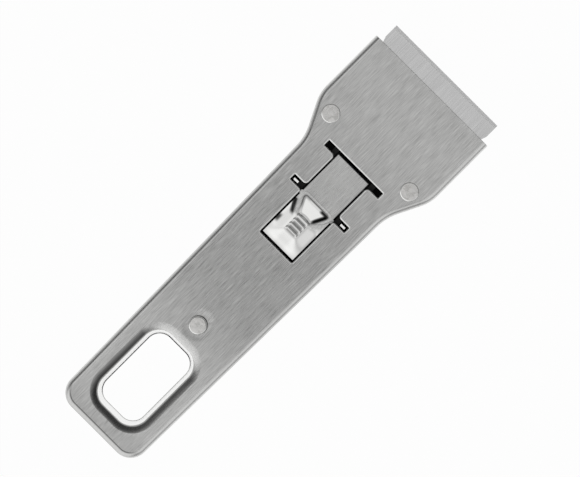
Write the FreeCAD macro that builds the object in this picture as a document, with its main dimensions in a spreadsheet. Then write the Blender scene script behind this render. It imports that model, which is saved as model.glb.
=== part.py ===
import FreeCAD, Part
import operator
import os

import Sketcher

# Hob scraper of pressed stainless sheet. +X points to the cutting edge, +Z is up,
# the origin lies on the table under the middle of the tool. Lengths are millimetres.
DRIVING_SIZES = (
    ("overall_length", 140.5, "cutting edge to handle end, blade out"),
    ("body_height", 6.4, "outside of bottom cover to outside of top cover"),
    ("seam_height", 3.2, "rims of the two covers meet here"),
    ("sheet", 0.8, "pressed sheet of covers, carrier and latch"),
    ("edge_roll", 1.2, "outside radius of the rolled edges"),
    ("blade_reach", 6.0, "cutting edge ahead of the head"),
    ("head_width", 44.0, "flared head"),
    ("head_side", 22.55, "head front to the corner where the shoulder turns in"),
    ("shoulder_run", 11.85, "shoulder along the tool"),
    ("neck_width", 32.3, "handle behind the shoulder"),
    ("tail_width", 28.95, "handle at its end"),
    ("shoulder_round", 12.0, "radius of the outward turn"),
    ("neck_round", 15.0, "radius of the inward turn"),
    ("tail_round", 5.5, "radius of the handle corners"),
    ("eye_length", 27.4, "hanging eye at the cover's outside, before its edge is rolled"),
    ("eye_width", 16.7, "same, across"),
    ("eye_corner", 5.3, "corner radius of the eye"),
    ("eye_lean", 0.95, "collar drawn in per side from top to bottom"),
    ("eye_floor", 0.4, "lower end of the collar above the table"),
    ("eye_roll", 2.3, "rolled edge of the eye"),
    ("eye_setback", 6.85, "eye to handle end"),
    ("nest_rise", 1.6, "bottom cover's own collar above its sheet"),
    ("nest_gap", 0.3, "between the nested collars"),
    ("rivet_shank", 4.0, "rivet diameter"),
    ("rivet_head", 5.4, "diameter of the countersunk heads"),
    ("rivet_sink", 0.7, "depth of the countersunk heads"),
    ("rivet_gap", 0.05, "radial room round a rivet"),
    ("head_rivet_setback", 2.05, "shoulder corner to the shoulder rivets"),
    ("handle_rivet_gap", 7.25, "handle rivet to the eye"),
    ("spacer_width", 5.4, "outside diameter of the spacers"),
    ("bar_setback", 30.2, "head front to the latch opening"),
    ("bar_span", 21.3, "cross bar of the latch opening"),
    ("bar_width", 2.0, "same, along the tool"),
    ("channel_width", 12.85, "channel and button window"),
    ("foot_setback", 13.55, "front of the opening to its feet"),
    ("foot_span", 21.5, "across both feet of the opening"),
    ("foot_width", 1.95, "a foot along the tool"),
    ("opening_length", 32.0, "front of the opening to the end of the button window"),
    ("opening_round", 1.1, "corner radius where the channel meets the bar and the feet"),
    ("window_round", 0.4, "corner radius of the button window"),
    ("tongue_gap", 1.05, "front of the opening to the tongue"),
    ("tongue_length", 14.05, "tongue to the crease where the button starts"),
    ("latch_gap", 0.5, "latch to the channel sides"),
    ("button_end_gap", 0.75, "button to the end of its window"),
    ("crest_setback", 5.8, "crease to the ribbed crest"),
    ("crest_length", 6.1, "ribbed crest along the tool"),
    ("crest_width", 4.7, "same, across"),
    ("crest_drop", 1.15, "crest below the cover's outside"),
    ("flank_drop", 1.75, "sides of the button below the cover's outside"),
    ("lip_drop", 2.0, "rear edge of the button below the cover's outside"),
    ("lug_length", 1.3, "lug at each side of the latch, along the tool"),
    ("lug_gap", 0.08, "lug to the side of the button window"),
    ("fold_inset", 0.6, "hip lines start this far inside the button's corners"),
    ("rib_pitch", 1.5, "rib to rib"),
    ("rib_width", 0.95, "a rib at its base"),
    ("rib_top_width", 0.45, "a rib at its top"),
    ("rib_height", 0.2, "a rib above the crest"),
    ("pin_width", 1.6, "diameter of the latch pin"),
    ("pin_setback", 2.2, "tongue front to the pin"),
    ("pin_drop", 2.2, "inside of the top cover to the pin"),
    ("pin_run_gap", 0.05, "radial room of the latch on its pin"),
    ("pin_seat_gap", 0.02, "radial room of the pin in the carrier"),
    ("ear_reach", 1.7, "pin to the edge of a latch ear"),
    ("blade_side_gap", 1.2, "scraper blade to the inside of the head"),
    ("blade_depth", 19.0, "cutting edge to blade back"),
    ("blade_sheet", 0.4, "blade thickness"),
    ("bevel_width", 1.0, "ground bevel at the cutting edge"),
    ("edge_land", 0.08, "thickness left at the cutting edge"),
    ("notch_setback", 4.35, "cutting edge to the side notch"),
    ("notch_run", 4.24, "slanted part of the side notch"),
    ("notch_depth", 1.5, "side notch"),
    ("slide_gap", 0.2, "blade to top cover and carrier to bottom cover"),
    ("seat_setback", 1.1, "head front to the carrier's seat"),
    ("seat_length", 12.4, "seat that the blade lies on"),
    ("seat_side_gap", 1.4, "seat to the inside of the head"),
    ("rail_gap", 0.555, "latch to the carrier rails"),
    ("rail_width", 1.6, "carrier rail beside the latch"),
    ("carrier_front_gap", 1.55, "carrier window ahead of the tongue"),
    ("bridge_gap", 1.6, "button to the bridge at the carrier's end"),
    ("stud_width", 3.8, "blade studs on the seat"),
    ("stud_height", 0.3, "same, above the seat"),
    ("stud_spread", 20.0, "between the studs"),
    ("stud_gap", 0.1, "radial room in the blade's holes"),
    ("stud_inset", 5.5, "stud to the blade's back"),
    ("tab_gap", 0.3, "guide tab to the carrier"),
    ("tab_width", 1.7, "guide tab across"),
    ("tab_sheet", 0.6, "guide tab along the tool"),
    ("tab_setback", 0.85, "front of a foot to its tab"),
    ("tab_sink", 0.1, "tip of a tab below the cover's outside"),
    ("leaf_sheet", 0.3, "leaf spring"),
    ("leaf_width", 4.6, "same, across"),
    ("leaf_foot", 4.5, "flat part of the leaf on the carrier"),
    ("leaf_foot_gap", 1.8, "flat part to the front of the carrier's window"),
    ("leaf_bend_run", 3.0, "bend of the leaf along the tool"),
    ("leaf_bend_drop", 2.2, "same, downwards"),
    ("leaf_gap", 0.05, "leaf to the underside of the crest"),
    ("leaf_rivet_shank", 1.9, "leaf rivet"),
    ("leaf_rivet_head", 3.2, "its heads"),
    ("leaf_rivet_rise", 0.35, "height of its heads"),
)
PLACE_SHARES = (
    ("head_rivet_share", 0.7091, "shoulder rivets, of the way from the centre line to the head's side"),
    ("bridge_share", 0.2, "bridge at the carrier's end, of its room before the handle spacer"),
)
RIB_COUNT = 4
SIDES = ((1, "left"), (-1, "right"))
TOUCH = 1e-4  # places closer than this are the same place

doc = FreeCAD.newDocument("hob_scraper")
sheet = doc.addObject("Spreadsheet::Sheet", "Sizes")


class Size:
    """A length with its spreadsheet formula and its present value."""

    def __init__(self, formula, value):
        self.formula = formula
        self.value = value

    def __add__(self, other):
        return combined(self, "+", other)

    def __sub__(self, other):
        return combined(self, "-", other)

    def __rsub__(self, other):
        return combined(other, "-", self)

    def __mul__(self, other):
        return combined(self, "*", other)

    def __truediv__(self, other):
        return combined(self, "/", other)

    def __neg__(self):
        return Size(f"(-{self.formula})", -self.value)


SIGNS = {"+": operator.add, "-": operator.sub, "*": operator.mul, "/": operator.truediv}


def as_size(number):
    return number if isinstance(number, Size) else Size(str(number), number)


def combined(left, sign, right):
    left, right = as_size(left), as_size(right)
    formula = f"({left.formula} {sign} {right.formula})"
    return Size(formula, SIGNS[sign](left.value, right.value))


class SizeBook:
    """The driving sizes and shares as attributes, each tied to its spreadsheet cell."""

    def __init__(self):
        for row, (name, value, meaning) in enumerate(DRIVING_SIZES + PLACE_SHARES, start=1):
            sheet.set(f"A{row}", name)
            sheet.set(f"B{row}", str(value))
            sheet.setAlias(f"B{row}", name)
            sheet.set(f"C{row}", meaning)
            setattr(self, name, Size(f"Sizes.{name}", value))


dim = SizeBook()
doc.recompute()

# Places along the tool
nose = dim.overall_length / 2
tail = -nose
head_front = nose - dim.blade_reach
shoulder_corner = head_front - dim.head_side
neck_corner = shoulder_corner - dim.shoulder_run
eye_middle = tail + dim.eye_setback + dim.eye_length / 2
handle_rivet_x = eye_middle + dim.eye_length / 2 + dim.handle_rivet_gap
head_rivet_x = shoulder_corner - dim.head_rivet_setback
opening_front = head_front - dim.bar_setback
bar_back = opening_front - dim.bar_width
foot_front = opening_front - dim.foot_setback
foot_back = foot_front - dim.foot_width
window_end = opening_front - dim.opening_length
tongue_front = opening_front - dim.tongue_gap
pin_x = tongue_front - dim.pin_setback
crease = tongue_front - dim.tongue_length
crest_front = crease - dim.crest_setback
crest_back = crest_front - dim.crest_length
button_end = window_end + dim.button_end_gap
seat_front = head_front - dim.seat_setback
seat_back = seat_front - dim.seat_length
carrier_window_front = tongue_front + dim.carrier_front_gap
carrier_window_back = button_end - dim.bridge_gap
bridge_room = carrier_window_back - handle_rivet_x - dim.spacer_width / 2
carrier_end = carrier_window_back - bridge_room * dim.bridge_share
tab_front = foot_front - dim.tab_setback
tab_back = tab_front - dim.tab_sheet

# Places across the tool
head_rivet_y = dim.head_width / 2 * dim.head_rivet_share
blade_side = dim.head_width / 2 - dim.sheet - dim.blade_side_gap
latch_side = dim.channel_width / 2 - dim.latch_gap
rail_inside = latch_side + dim.rail_gap
rail_outside = rail_inside + dim.rail_width
seat_side = dim.head_width / 2 - dim.sheet - dim.seat_side_gap
tab_inside = rail_outside + dim.tab_gap
tab_outside = tab_inside + dim.tab_width

# Heights
roof = dim.body_height - dim.sheet
blade_top = roof - dim.slide_gap
seat_top = blade_top - dim.blade_sheet
seat_under = seat_top - dim.sheet
flange_foot = dim.sheet + dim.slide_gap
pin_z = roof - dim.pin_drop
tab_top = dim.body_height - dim.tab_sink
nest_top = dim.sheet + dim.nest_rise
leaf_rivet_x = carrier_window_front + dim.leaf_foot_gap + dim.leaf_foot / 2


def new_body(label):
    body = doc.addObject("PartDesign::Body", label)
    body.Label = label
    return body


def new_sketch(body, name, plane, offset):
    """Sketch on one of the body's own planes, moved along the plane's normal."""
    sketch = body.newObject("Sketcher::SketchObject", name)
    support = [item for item in body.Origin.OriginFeatures if item.Role == plane][0]
    sketch.AttachmentSupport = [(support, "")]
    sketch.MapMode = "FlatFace"
    bind(sketch, "AttachmentOffset.Base.z", offset)
    return sketch


def bind(item, name, size):
    item.setExpression(name, as_size(size).formula)


def fix_coordinate(sketch, kind, axis, geometry, end, size):
    """Tie one coordinate of a sketch point to its size, or to the axis where it is zero."""
    if not isinstance(size, Size):
        sketch.addConstraint(Sketcher.Constraint("PointOnObject", geometry, end, axis))
        return
    rule = Sketcher.Constraint(kind, -1, 1, geometry, end, size.value)
    bind(sketch, f"Constraints[{sketch.addConstraint(rule)}]", size)


def fix_point(sketch, geometry, end, place):
    fix_coordinate(sketch, "DistanceX", -2, geometry, end, place[0])
    fix_coordinate(sketch, "DistanceY", -1, geometry, end, place[1])


def vector(place):
    return FreeCAD.Vector(as_size(place[0]).value, as_size(place[1]).value, 0)


def add_outline(sketch, places):
    """Closed outline of straight lines, every corner tied to its sizes."""
    count = len(places)
    for index, place in enumerate(places):
        following = places[(index + 1) % count]
        sketch.addGeometry(Part.LineSegment(vector(place), vector(following)))
    for index, place in enumerate(places):
        joint = ("Coincident", (index - 1) % count, 2, index, 1)
        sketch.addConstraint(Sketcher.Constraint(*joint))
        fix_point(sketch, index, 1, place)


def add_rounded_rectangle(sketch, middle, length, width, radius):
    """Rectangle across the centre line whose corners are quarter circles."""
    front, back = middle + length / 2, middle - length / 2
    side = width / 2
    inner_side = side - radius
    ends = [
        ((front, -inner_side), (front, inner_side)),
        ((front - radius, side), (back + radius, side)),
        ((back, inner_side), (back, -inner_side)),
        ((back + radius, -side), (front - radius, -side)),
    ]
    centres = [
        (front - radius, inner_side),
        (back + radius, inner_side),
        (back + radius, -inner_side),
        (front - radius, -inner_side),
    ]
    for start, end in ends:
        line = sketch.addGeometry(Part.LineSegment(vector(start), vector(end)))
        fix_point(sketch, line, 1, start)
        fix_point(sketch, line, 2, end)
    for corner, centre in enumerate(centres):
        following = (corner + 1) % len(ends)
        disc = Part.Circle(vector(centre), FreeCAD.Vector(0, 0, 1), radius.value)
        first = disc.parameter(vector(ends[corner][1]))
        last = disc.parameter(vector(ends[following][0]))
        arc = sketch.addGeometry(Part.ArcOfCircle(disc, first, last))
        sketch.addConstraint(Sketcher.Constraint("Coincident", arc, 1, corner, 2))
        sketch.addConstraint(Sketcher.Constraint("Coincident", arc, 2, following, 1))
        rule = Sketcher.Constraint("Radius", arc, radius.value)
        bind(sketch, f"Constraints[{sketch.addConstraint(rule)}]", radius)


def add_circle(sketch, place, width):
    disc = Part.Circle(vector(place), FreeCAD.Vector(0, 0, 1), width.value / 2)
    index = sketch.addGeometry(disc)
    fix_point(sketch, index, 3, place)
    rule = Sketcher.Constraint("Diameter", index, width.value)
    bind(sketch, f"Constraints[{sketch.addConstraint(rule)}]", width)


def flat_sketch(body, name, places, height):
    sketch = new_sketch(body, f"{name}_sketch", "XY_Plane", height)
    add_outline(sketch, places)
    return sketch


def finish_feature(body, feature):
    doc.recompute()
    body.Tip = feature
    return feature


def extruded(body, kind, name, sketch, length):
    feature = body.newObject(kind, name)
    feature.Profile = sketch
    bind(feature, "Length", length)
    return finish_feature(body, feature)


def pad(body, name, places, bottom, top):
    sketch = flat_sketch(body, name, places, bottom)
    return extruded(body, "PartDesign::Pad", name, sketch, top - bottom)


def pocket(body, name, places, top, bottom):
    sketch = flat_sketch(body, name, places, top)
    return extruded(body, "PartDesign::Pocket", name, sketch, top - bottom)


def round_pad(body, name, places, width, bottom, top):
    sketch = new_sketch(body, f"{name}_sketch", "XY_Plane", bottom)
    for place in places:
        add_circle(sketch, place, width)
    return extruded(body, "PartDesign::Pad", name, sketch, top - bottom)


def round_pocket(body, name, places, width, top, bottom):
    sketch = new_sketch(body, f"{name}_sketch", "XY_Plane", top)
    for place in places:
        add_circle(sketch, place, width)
    return extruded(body, "PartDesign::Pocket", name, sketch, top - bottom)


def cross_pad(body, name, places, half_width):
    """Side-view outline carried across the tool, the same to both sides."""
    sketch = new_sketch(body, f"{name}_sketch", "XZ_Plane", -half_width)
    add_outline(sketch, places)
    return extruded(body, "PartDesign::Pad", name, sketch, half_width * 2)


def cross_hole(body, name, place, width, half_width):
    sketch = new_sketch(body, f"{name}_sketch", "XZ_Plane", half_width)
    add_circle(sketch, place, width)
    return extruded(body, "PartDesign::Pocket", name, sketch, half_width * 2)


def loft(body, kind, name, sketches):
    feature = body.newObject(kind, name)
    feature.Profile = sketches[0]
    feature.Sections = sketches[1:]
    feature.Ruled = True
    return finish_feature(body, feature)


def dressed(body, kind, name, base, names, size_name, size):
    feature = body.newObject(kind, name)
    feature.Base = (base, names)
    bind(feature, size_name, size)
    return finish_feature(body, feature)


def fillet(body, name, base, edges, radius):
    return dressed(body, "PartDesign::Fillet", name, base, edges, "Radius", radius)


def chamfer(body, name, base, edges, size):
    return dressed(body, "PartDesign::Chamfer", name, base, edges, "Size", size)


def edge_names(feature, test):
    edges = feature.Shape.Edges
    return [f"Edge{n}" for n, edge in enumerate(edges, start=1) if test(edge)]


def face_names(feature, test):
    faces = feature.Shape.Faces
    return [f"Face{n}" for n, face in enumerate(faces, start=1) if test(face)]


def close(first, second):
    return abs(first - as_size(second).value) < TOUCH


def corners(item):
    return [vertex.Point for vertex in item.Vertexes]


def level(item, height):
    """True for an edge or face that lies flat at this height."""
    return all(close(corner.z, height) for corner in corners(item))


def at_seam(item):
    return level(item, dim.seam_height)


def at_front(item):
    return all(close(corner.x, head_front) for corner in corners(item))


def upright_edges(feature, places):
    """Names of the vertical edges that stand at these places in plan."""
    spots = [vector(place) for place in places]

    def at_spot(edge):
        has_two_ends = len(edge.Vertexes) == 2
        return has_two_ends and any(
            all(close(corner.x, spot.x) and close(corner.y, spot.y) for corner in corners(edge))
            for spot in spots)

    return edge_names(feature, at_spot)


def in_eye(edge):
    reach = (dim.eye_length / 2 + dim.eye_roll).value
    return all(abs(corner.x - eye_middle.value) < reach for corner in corners(edge))


def mirrored(half):
    """Outline from its points on the +Y side, front to back."""
    return half + [(x, -y) for x, y in reversed(half)]


def strip(front, back, inside, outside, side):
    """Rectangle beside the centre line, on the left where side is 1 and on the right where it is -1."""
    half = [(front, inside), (front, outside), (back, outside), (back, inside)]
    return to_side(half, side)


def to_side(places, side):
    return [(x, y * side) for x, y in places]


def pressed_shell(body, bottom, top, outside, open_faces):
    """Pan with the plan of the tool, rolled along its outside edge."""
    plan = mirrored([
        (head_front, dim.head_width / 2),
        (shoulder_corner, dim.head_width / 2),
        (neck_corner, dim.neck_width / 2),
        (tail, dim.tail_width / 2),
    ])
    feature = pad(body, "plan", plan, bottom, top)
    pairs = (plan[1], plan[-2]), (plan[2], plan[-3]), (plan[3], plan[-4])
    radii = (dim.shoulder_round, dim.neck_round, dim.tail_round)
    for number, (spots, radius) in enumerate(zip(pairs, radii)):
        edges = upright_edges(feature, spots)
        feature = fillet(body, f"corner{number}", feature, edges, radius)
    has_mouth = at_front in open_faces
    rim = edge_names(feature, lambda edge: level(edge, outside) and not (has_mouth and at_front(edge)))
    feature = fillet(body, "roll", feature, rim, dim.edge_roll)
    names = [name for test in open_faces for name in face_names(feature, test)]
    feature = dressed(body, "PartDesign::Thickness", "shell", feature, names, "Value", dim.sheet)
    feature.Reversed = True
    return finish_feature(body, feature)


def eye_section(body, name, height, extra):
    """Cut through the leaning collar of the hanging eye at one height, this much outside its throat."""
    room = extra - eye_lean_at(height)
    return eye_sketch(body, name, height, room)


def eye_lean_at(height):
    return dim.eye_lean * ((dim.body_height - height) / (dim.body_height - dim.eye_floor))


def eye_sketch(body, name, height, room):
    """The eye's outline, moved outwards by this room all round."""
    sketch = new_sketch(body, name, "XY_Plane", height)
    length = dim.eye_length + room * 2
    width = dim.eye_width + room * 2
    add_rounded_rectangle(sketch, eye_middle, length, width, dim.eye_corner + room)
    return sketch


def make_top_cover():
    body = new_body("top_cover")
    open_faces = (at_seam, at_front)
    pressed_shell(body, dim.seam_height, dim.body_height, dim.body_height, open_faces)

    outer = [eye_section(body, "collar_top", roof, dim.sheet),
             eye_section(body, "collar_foot", dim.eye_floor, dim.sheet)]
    feature = loft(body, "PartDesign::AdditiveLoft", "collar", outer)
    root = edge_names(feature, lambda edge: level(edge, roof) and in_eye(edge))
    feature = fillet(body, "collar_root", feature, root, dim.eye_roll - dim.sheet)
    inner = [eye_section(body, "throat_top", dim.body_height, 0),
             eye_section(body, "throat_foot", dim.eye_floor, 0)]
    feature = loft(body, "PartDesign::SubtractiveLoft", "throat", inner)
    lip = edge_names(feature, lambda edge: level(edge, dim.body_height) and in_eye(edge))
    feature = fillet(body, "eye_edge", feature, lip, dim.eye_roll)

    half_channel = dim.channel_width / 2
    opening = mirrored([
        (opening_front, dim.bar_span / 2),
        (bar_back, dim.bar_span / 2),
        (bar_back, half_channel),
        (foot_front, half_channel),
        (foot_front, dim.foot_span / 2),
        (foot_back, dim.foot_span / 2),
        (foot_back, half_channel),
        (window_end, half_channel),
    ])
    feature = pocket(body, "opening", opening, dim.body_height, roof)
    for name, stations, radius in (
        ("opening_corners", (bar_back, foot_front), dim.opening_round),
        ("window_corners", (foot_back, window_end), dim.window_round),
    ):
        turns = [(x, side) for x in stations for side in (half_channel, -half_channel)]
        feature = fillet(body, name, feature, upright_edges(feature, turns), radius)
    rivet_holes(body, dim.body_height, roof, dim.body_height)
    return body


def rivet_places():
    return [(head_rivet_x, head_rivet_y), (head_rivet_x, -head_rivet_y), (handle_rivet_x, 0)]


def rivet_holes(body, top, bottom, outside):
    """Countersunk holes for the three rivets, widest at the outside."""
    width = dim.rivet_shank + dim.rivet_gap * 2
    feature = round_pocket(body, "rivet_hole", rivet_places(), width, top, bottom)

    def hole_edge(edge):
        curve = edge.Curve
        return level(edge, outside) and isinstance(curve, Part.Circle) and close(curve.Radius, width / 2)

    chamfer(body, "countersink", feature, edge_names(feature, hole_edge), dim.rivet_sink)


def make_bottom_cover():
    body = new_body("bottom_cover")
    pressed_shell(body, 0, dim.seam_height, 0, (at_seam,))

    room = dim.sheet + dim.nest_gap - eye_lean_at(nest_top)
    collar = eye_sketch(body, "nest_sketch", dim.sheet, room + dim.sheet)
    extruded(body, "PartDesign::Pad", "nest", collar, dim.nest_rise)
    throat = eye_sketch(body, "throat_sketch", nest_top, room)
    feature = extruded(body, "PartDesign::Pocket", "throat", throat, nest_top)
    lip = edge_names(feature, lambda edge: level(edge, 0) and in_eye(edge))
    fillet(body, "eye_edge", feature, lip, dim.edge_roll)

    lance_end = tab_back - (tab_top - dim.sheet)
    for side, name in SIDES:
        tab = strip(tab_front, tab_back, tab_inside, tab_outside, side)
        pad(body, f"tab_{name}", tab, dim.sheet, tab_top)
        lance = strip(tab_back, lance_end, tab_inside, tab_outside, side)
        pocket(body, f"lance_{name}", lance, dim.sheet, 0)
    rivet_holes(body, dim.sheet, 0, 0)
    return body


def make_rivet(label, place):
    """Rivet with a countersunk head at both ends, flush with the covers."""
    body = new_body(label)
    head = dim.rivet_head / 2
    shank = dim.rivet_shank / 2
    profile = [
        (0, 0),
        (head, 0),
        (shank, dim.rivet_sink),
        (shank, dim.body_height - dim.rivet_sink),
        (head, dim.body_height),
        (0, dim.body_height),
    ]
    turned(body, profile)
    stand(body, place, 0)
    return body


def make_spacer(label, place):
    """Bush that keeps the covers apart round a rivet."""
    body = new_body(label)
    bore = dim.rivet_shank / 2 + dim.rivet_gap
    profile = [
        (bore, dim.sheet),
        (dim.spacer_width / 2, dim.sheet),
        (dim.spacer_width / 2, roof),
        (bore, roof),
    ]
    turned(body, profile)
    stand(body, place, 0)
    return body


def turned(body, profile):
    sketch = new_sketch(body, "profile", "XZ_Plane", 0)
    add_outline(sketch, profile)
    feature = body.newObject("PartDesign::Revolution", "turning")
    feature.Profile = sketch
    feature.ReferenceAxis = (sketch, ["V_Axis"])
    feature.Angle = 360
    return finish_feature(body, feature)


def stand(body, place, height):
    bind(body, "Placement.Base.x", place[0])
    bind(body, "Placement.Base.y", place[1])
    bind(body, "Placement.Base.z", height)
    doc.recompute()


def make_blade():
    """Blade ground to an edge in front, notched at both sides, with two holes."""
    body = new_body("blade")
    half_land = (dim.blade_sheet - dim.edge_land) / 2
    back = nose - dim.blade_depth
    profile = [
        (nose, seat_top + half_land),
        (nose, blade_top - half_land),
        (nose - dim.bevel_width, blade_top),
        (back, blade_top),
        (back, seat_top),
        (nose - dim.bevel_width, seat_top),
    ]
    cross_pad(body, "ground_strip", profile, blade_side)
    notch_start = nose - dim.notch_setback
    notch_end = notch_start - dim.notch_run
    outside = blade_side + dim.notch_depth
    notch = [
        (notch_start, blade_side),
        (notch_end, blade_side - dim.notch_depth),
        (back - dim.notch_depth, blade_side - dim.notch_depth),
        (back - dim.notch_depth, outside),
        (notch_start, outside),
    ]
    for side, name in SIDES:
        pocket(body, f"notch_{name}", to_side(notch, side), blade_top, seat_top)
    round_pocket(body, "stud_hole", stud_places(), dim.stud_width + dim.stud_gap * 2, blade_top, seat_top)
    return body


def stud_places():
    x = nose - dim.blade_depth + dim.stud_inset
    half = dim.stud_spread / 2
    return [(x, half), (x, -half)]


def make_blade_carrier():
    """Plate with turned-down flanges: wide seat in front, two rails beside the latch, bridge behind."""
    body = new_body("blade_carrier")
    plan = mirrored([
        (seat_front, seat_side),
        (seat_back, seat_side),
        (seat_back, rail_outside),
        (carrier_end, rail_outside),
    ])
    pad(body, "plate", plan, seat_under, seat_top)
    for side, name in SIDES:
        seat_flange = strip(seat_front, seat_back, seat_side - dim.sheet, seat_side, side)
        pad(body, f"seat_flange_{name}", seat_flange, flange_foot, seat_under)
        rail_flange = strip(seat_back, carrier_end, rail_outside - dim.sheet, rail_outside, side)
        pad(body, f"rail_flange_{name}", rail_flange, flange_foot, seat_under)
    window = mirrored([(carrier_window_front, rail_inside), (carrier_window_back, rail_inside)])
    pocket(body, "window", window, seat_top, seat_under)
    round_pad(body, "stud", stud_places(), dim.stud_width, seat_top, seat_top + dim.stud_height)
    cross_hole(body, "pin_hole", (pin_x, pin_z), dim.pin_width + dim.pin_seat_gap * 2, rail_outside)
    rivet_hole = dim.leaf_rivet_shank + dim.rivet_gap * 2
    round_pocket(body, "leaf_rivet_hole", [(leaf_rivet_x, 0)], rivet_hole, seat_top, seat_under)
    return body


def make_latch_pin():
    body = new_body("latch_pin")
    sketch = new_sketch(body, "pin_sketch", "XZ_Plane", -rail_outside)
    add_circle(sketch, (pin_x, pin_z), dim.pin_width)
    extruded(body, "PartDesign::Pad", "pin", sketch, rail_outside * 2)
    return body


def make_latch_spring():
    """Leaf: flat foot under the carrier, bend down past the pin, arm up to the crest."""
    body = new_body("latch_spring")
    foot_front_x = carrier_window_front + dim.leaf_foot_gap + dim.leaf_foot
    foot_back_x = carrier_window_front + dim.leaf_foot_gap
    bend_x = foot_back_x - dim.leaf_bend_run
    bend_z = seat_under - dim.leaf_bend_drop
    tip_x = crest_front - dim.crest_length / 2
    tip_z = dim.body_height - dim.crest_drop - dim.sheet - dim.leaf_gap
    line = [(foot_front_x, seat_under), (foot_back_x, seat_under), (bend_x, bend_z), (tip_x, tip_z)]
    under = [(x, z - dim.leaf_sheet) for x, z in reversed(line)]
    cross_pad(body, "leaf", line + under, dim.leaf_width / 2)
    hole = dim.leaf_rivet_shank + dim.rivet_gap * 2
    round_pocket(body, "rivet_hole", [(leaf_rivet_x, 0)], hole, seat_under, seat_under - dim.leaf_sheet)
    return body


def make_spring_rivet():
    body = new_body("spring_rivet")
    head = dim.leaf_rivet_head / 2
    shank = dim.leaf_rivet_shank / 2
    leaf_under = seat_under - dim.leaf_sheet
    profile = [
        (0, leaf_under - dim.leaf_rivet_rise),
        (head, leaf_under - dim.leaf_rivet_rise),
        (head, leaf_under),
        (shank, leaf_under),
        (shank, seat_top),
        (head, seat_top),
        (head, seat_top + dim.leaf_rivet_rise),
        (0, seat_top + dim.leaf_rivet_rise),
    ]
    turned(body, profile)
    stand(body, (leaf_rivet_x, 0), 0)
    return body


def button_section(body, name, x, inner_half, inner_drop, outer_drop):
    """Cut across the pressed button: a middle facet and a flank to each side."""
    sketch = new_sketch(body, name, "YZ_Plane", x)
    inner_top = dim.body_height - inner_drop
    outer_top = dim.body_height - outer_drop
    left_half = [(latch_side, outer_top), (inner_half, inner_top)]
    top = left_half + [(-y, z) for y, z in reversed(left_half)]
    under = [(y, z - dim.sheet) for y, z in reversed(top)]
    add_outline(sketch, top + under)
    return sketch


def make_thumb_latch():
    """Tongue with two ears on the pin, and behind it the button with four ribs on its crest."""
    body = new_body("thumb_latch")
    tongue = mirrored([(tongue_front, latch_side), (crease, latch_side)])
    pad(body, "tongue", tongue, roof, dim.body_height)
    fold_half = latch_side - dim.fold_inset
    crest_half = dim.crest_width / 2
    sections = [
        button_section(body, "crease_section", crease, fold_half, 0, 0),
        button_section(body, "crest_front_section", crest_front, crest_half, dim.crest_drop, dim.flank_drop),
        button_section(body, "crest_back_section", crest_back, crest_half, dim.crest_drop, dim.flank_drop),
        button_section(body, "lip_section", button_end, fold_half, dim.lip_drop, dim.lip_drop),
    ]
    loft(body, "PartDesign::AdditiveLoft", "button", sections)
    crest_top = dim.body_height - dim.crest_drop
    first_rib = crest_front - dim.crest_length / 2 + dim.rib_pitch * ((RIB_COUNT - 1) / 2)
    for number in range(RIB_COUNT):
        middle = first_rib - dim.rib_pitch * number
        profile = [
            (middle + dim.rib_width / 2, crest_top),
            (middle + dim.rib_top_width / 2, crest_top + dim.rib_height),
            (middle - dim.rib_top_width / 2, crest_top + dim.rib_height),
            (middle - dim.rib_width / 2, crest_top),
        ]
        cross_pad(body, f"rib{number}", profile, crest_half)
    lug_side = dim.channel_width / 2 - dim.lug_gap
    for side, name in SIDES:
        lug = strip(crease, crease - dim.lug_length, latch_side - dim.sheet, lug_side, side)
        pad(body, f"lug_{name}", lug, roof, dim.body_height)
        ear = strip(pin_x + dim.ear_reach, pin_x - dim.ear_reach, latch_side - dim.sheet, latch_side, side)
        pad(body, f"ear_{name}", ear, pin_z - dim.ear_reach, roof)
    cross_hole(body, "pin_bore", (pin_x, pin_z), dim.pin_width + dim.pin_run_gap * 2, latch_side)
    return body


rivet_left, rivet_right, rivet_handle = rivet_places()
sub_parts = [
    make_top_cover(),
    make_bottom_cover(),
    make_rivet("head_rivet_left", rivet_left),
    make_rivet("head_rivet_right", rivet_right),
    make_rivet("handle_rivet", rivet_handle),
    make_spacer("head_spacer_left", rivet_left),
    make_spacer("head_spacer_right", rivet_right),
    make_spacer("handle_spacer", rivet_handle),
    make_blade(),
    make_blade_carrier(),
    make_latch_pin(),
    make_latch_spring(),
    make_spring_rivet(),
    make_thumb_latch(),
]
doc.recompute()

for item in doc.Objects:
    if "Invalid" in item.State or "Error" in item.State:
        raise RuntimeError(f"{item.Label} failed: {item.State}")
for part in sub_parts:
    if part.Shape.isNull() or not part.Shape.isValid() or len(part.Shape.Solids) != 1:
        raise RuntimeError(f"{part.Label} is not one valid solid")

os.makedirs("parts", exist_ok=True)
for part in sub_parts:
    part.Shape.exportStep(f"parts/{part.Label}.step")
    box = part.Shape.optimalBoundingBox()
    print(f"{part.Label}: {part.Shape.Volume:.1f} mm3, "
          f"{box.XLength:.1f} x {box.YLength:.1f} x {box.ZLength:.1f} mm")
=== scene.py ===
# %% [markdown]
# # A hob scraper in brushed steel
# This lesson dresses a CAD model of a small kitchen tool: two pressed steel covers, a razor blade, and a
# polished thumb latch. The CAD gives every place and every joint. Here we add what a CAD solid lacks:
# softly rolled edges, brushed grain, pressed folds, and the light of a product photograph.
# The frame is loaded first, because every new piece is fitted to it and moves with its bodies.

# %% Load the frame
import math

import bpy
import numpy as np
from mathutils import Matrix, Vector
from mathutils.geometry import delaunay_2d_cdt


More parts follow.
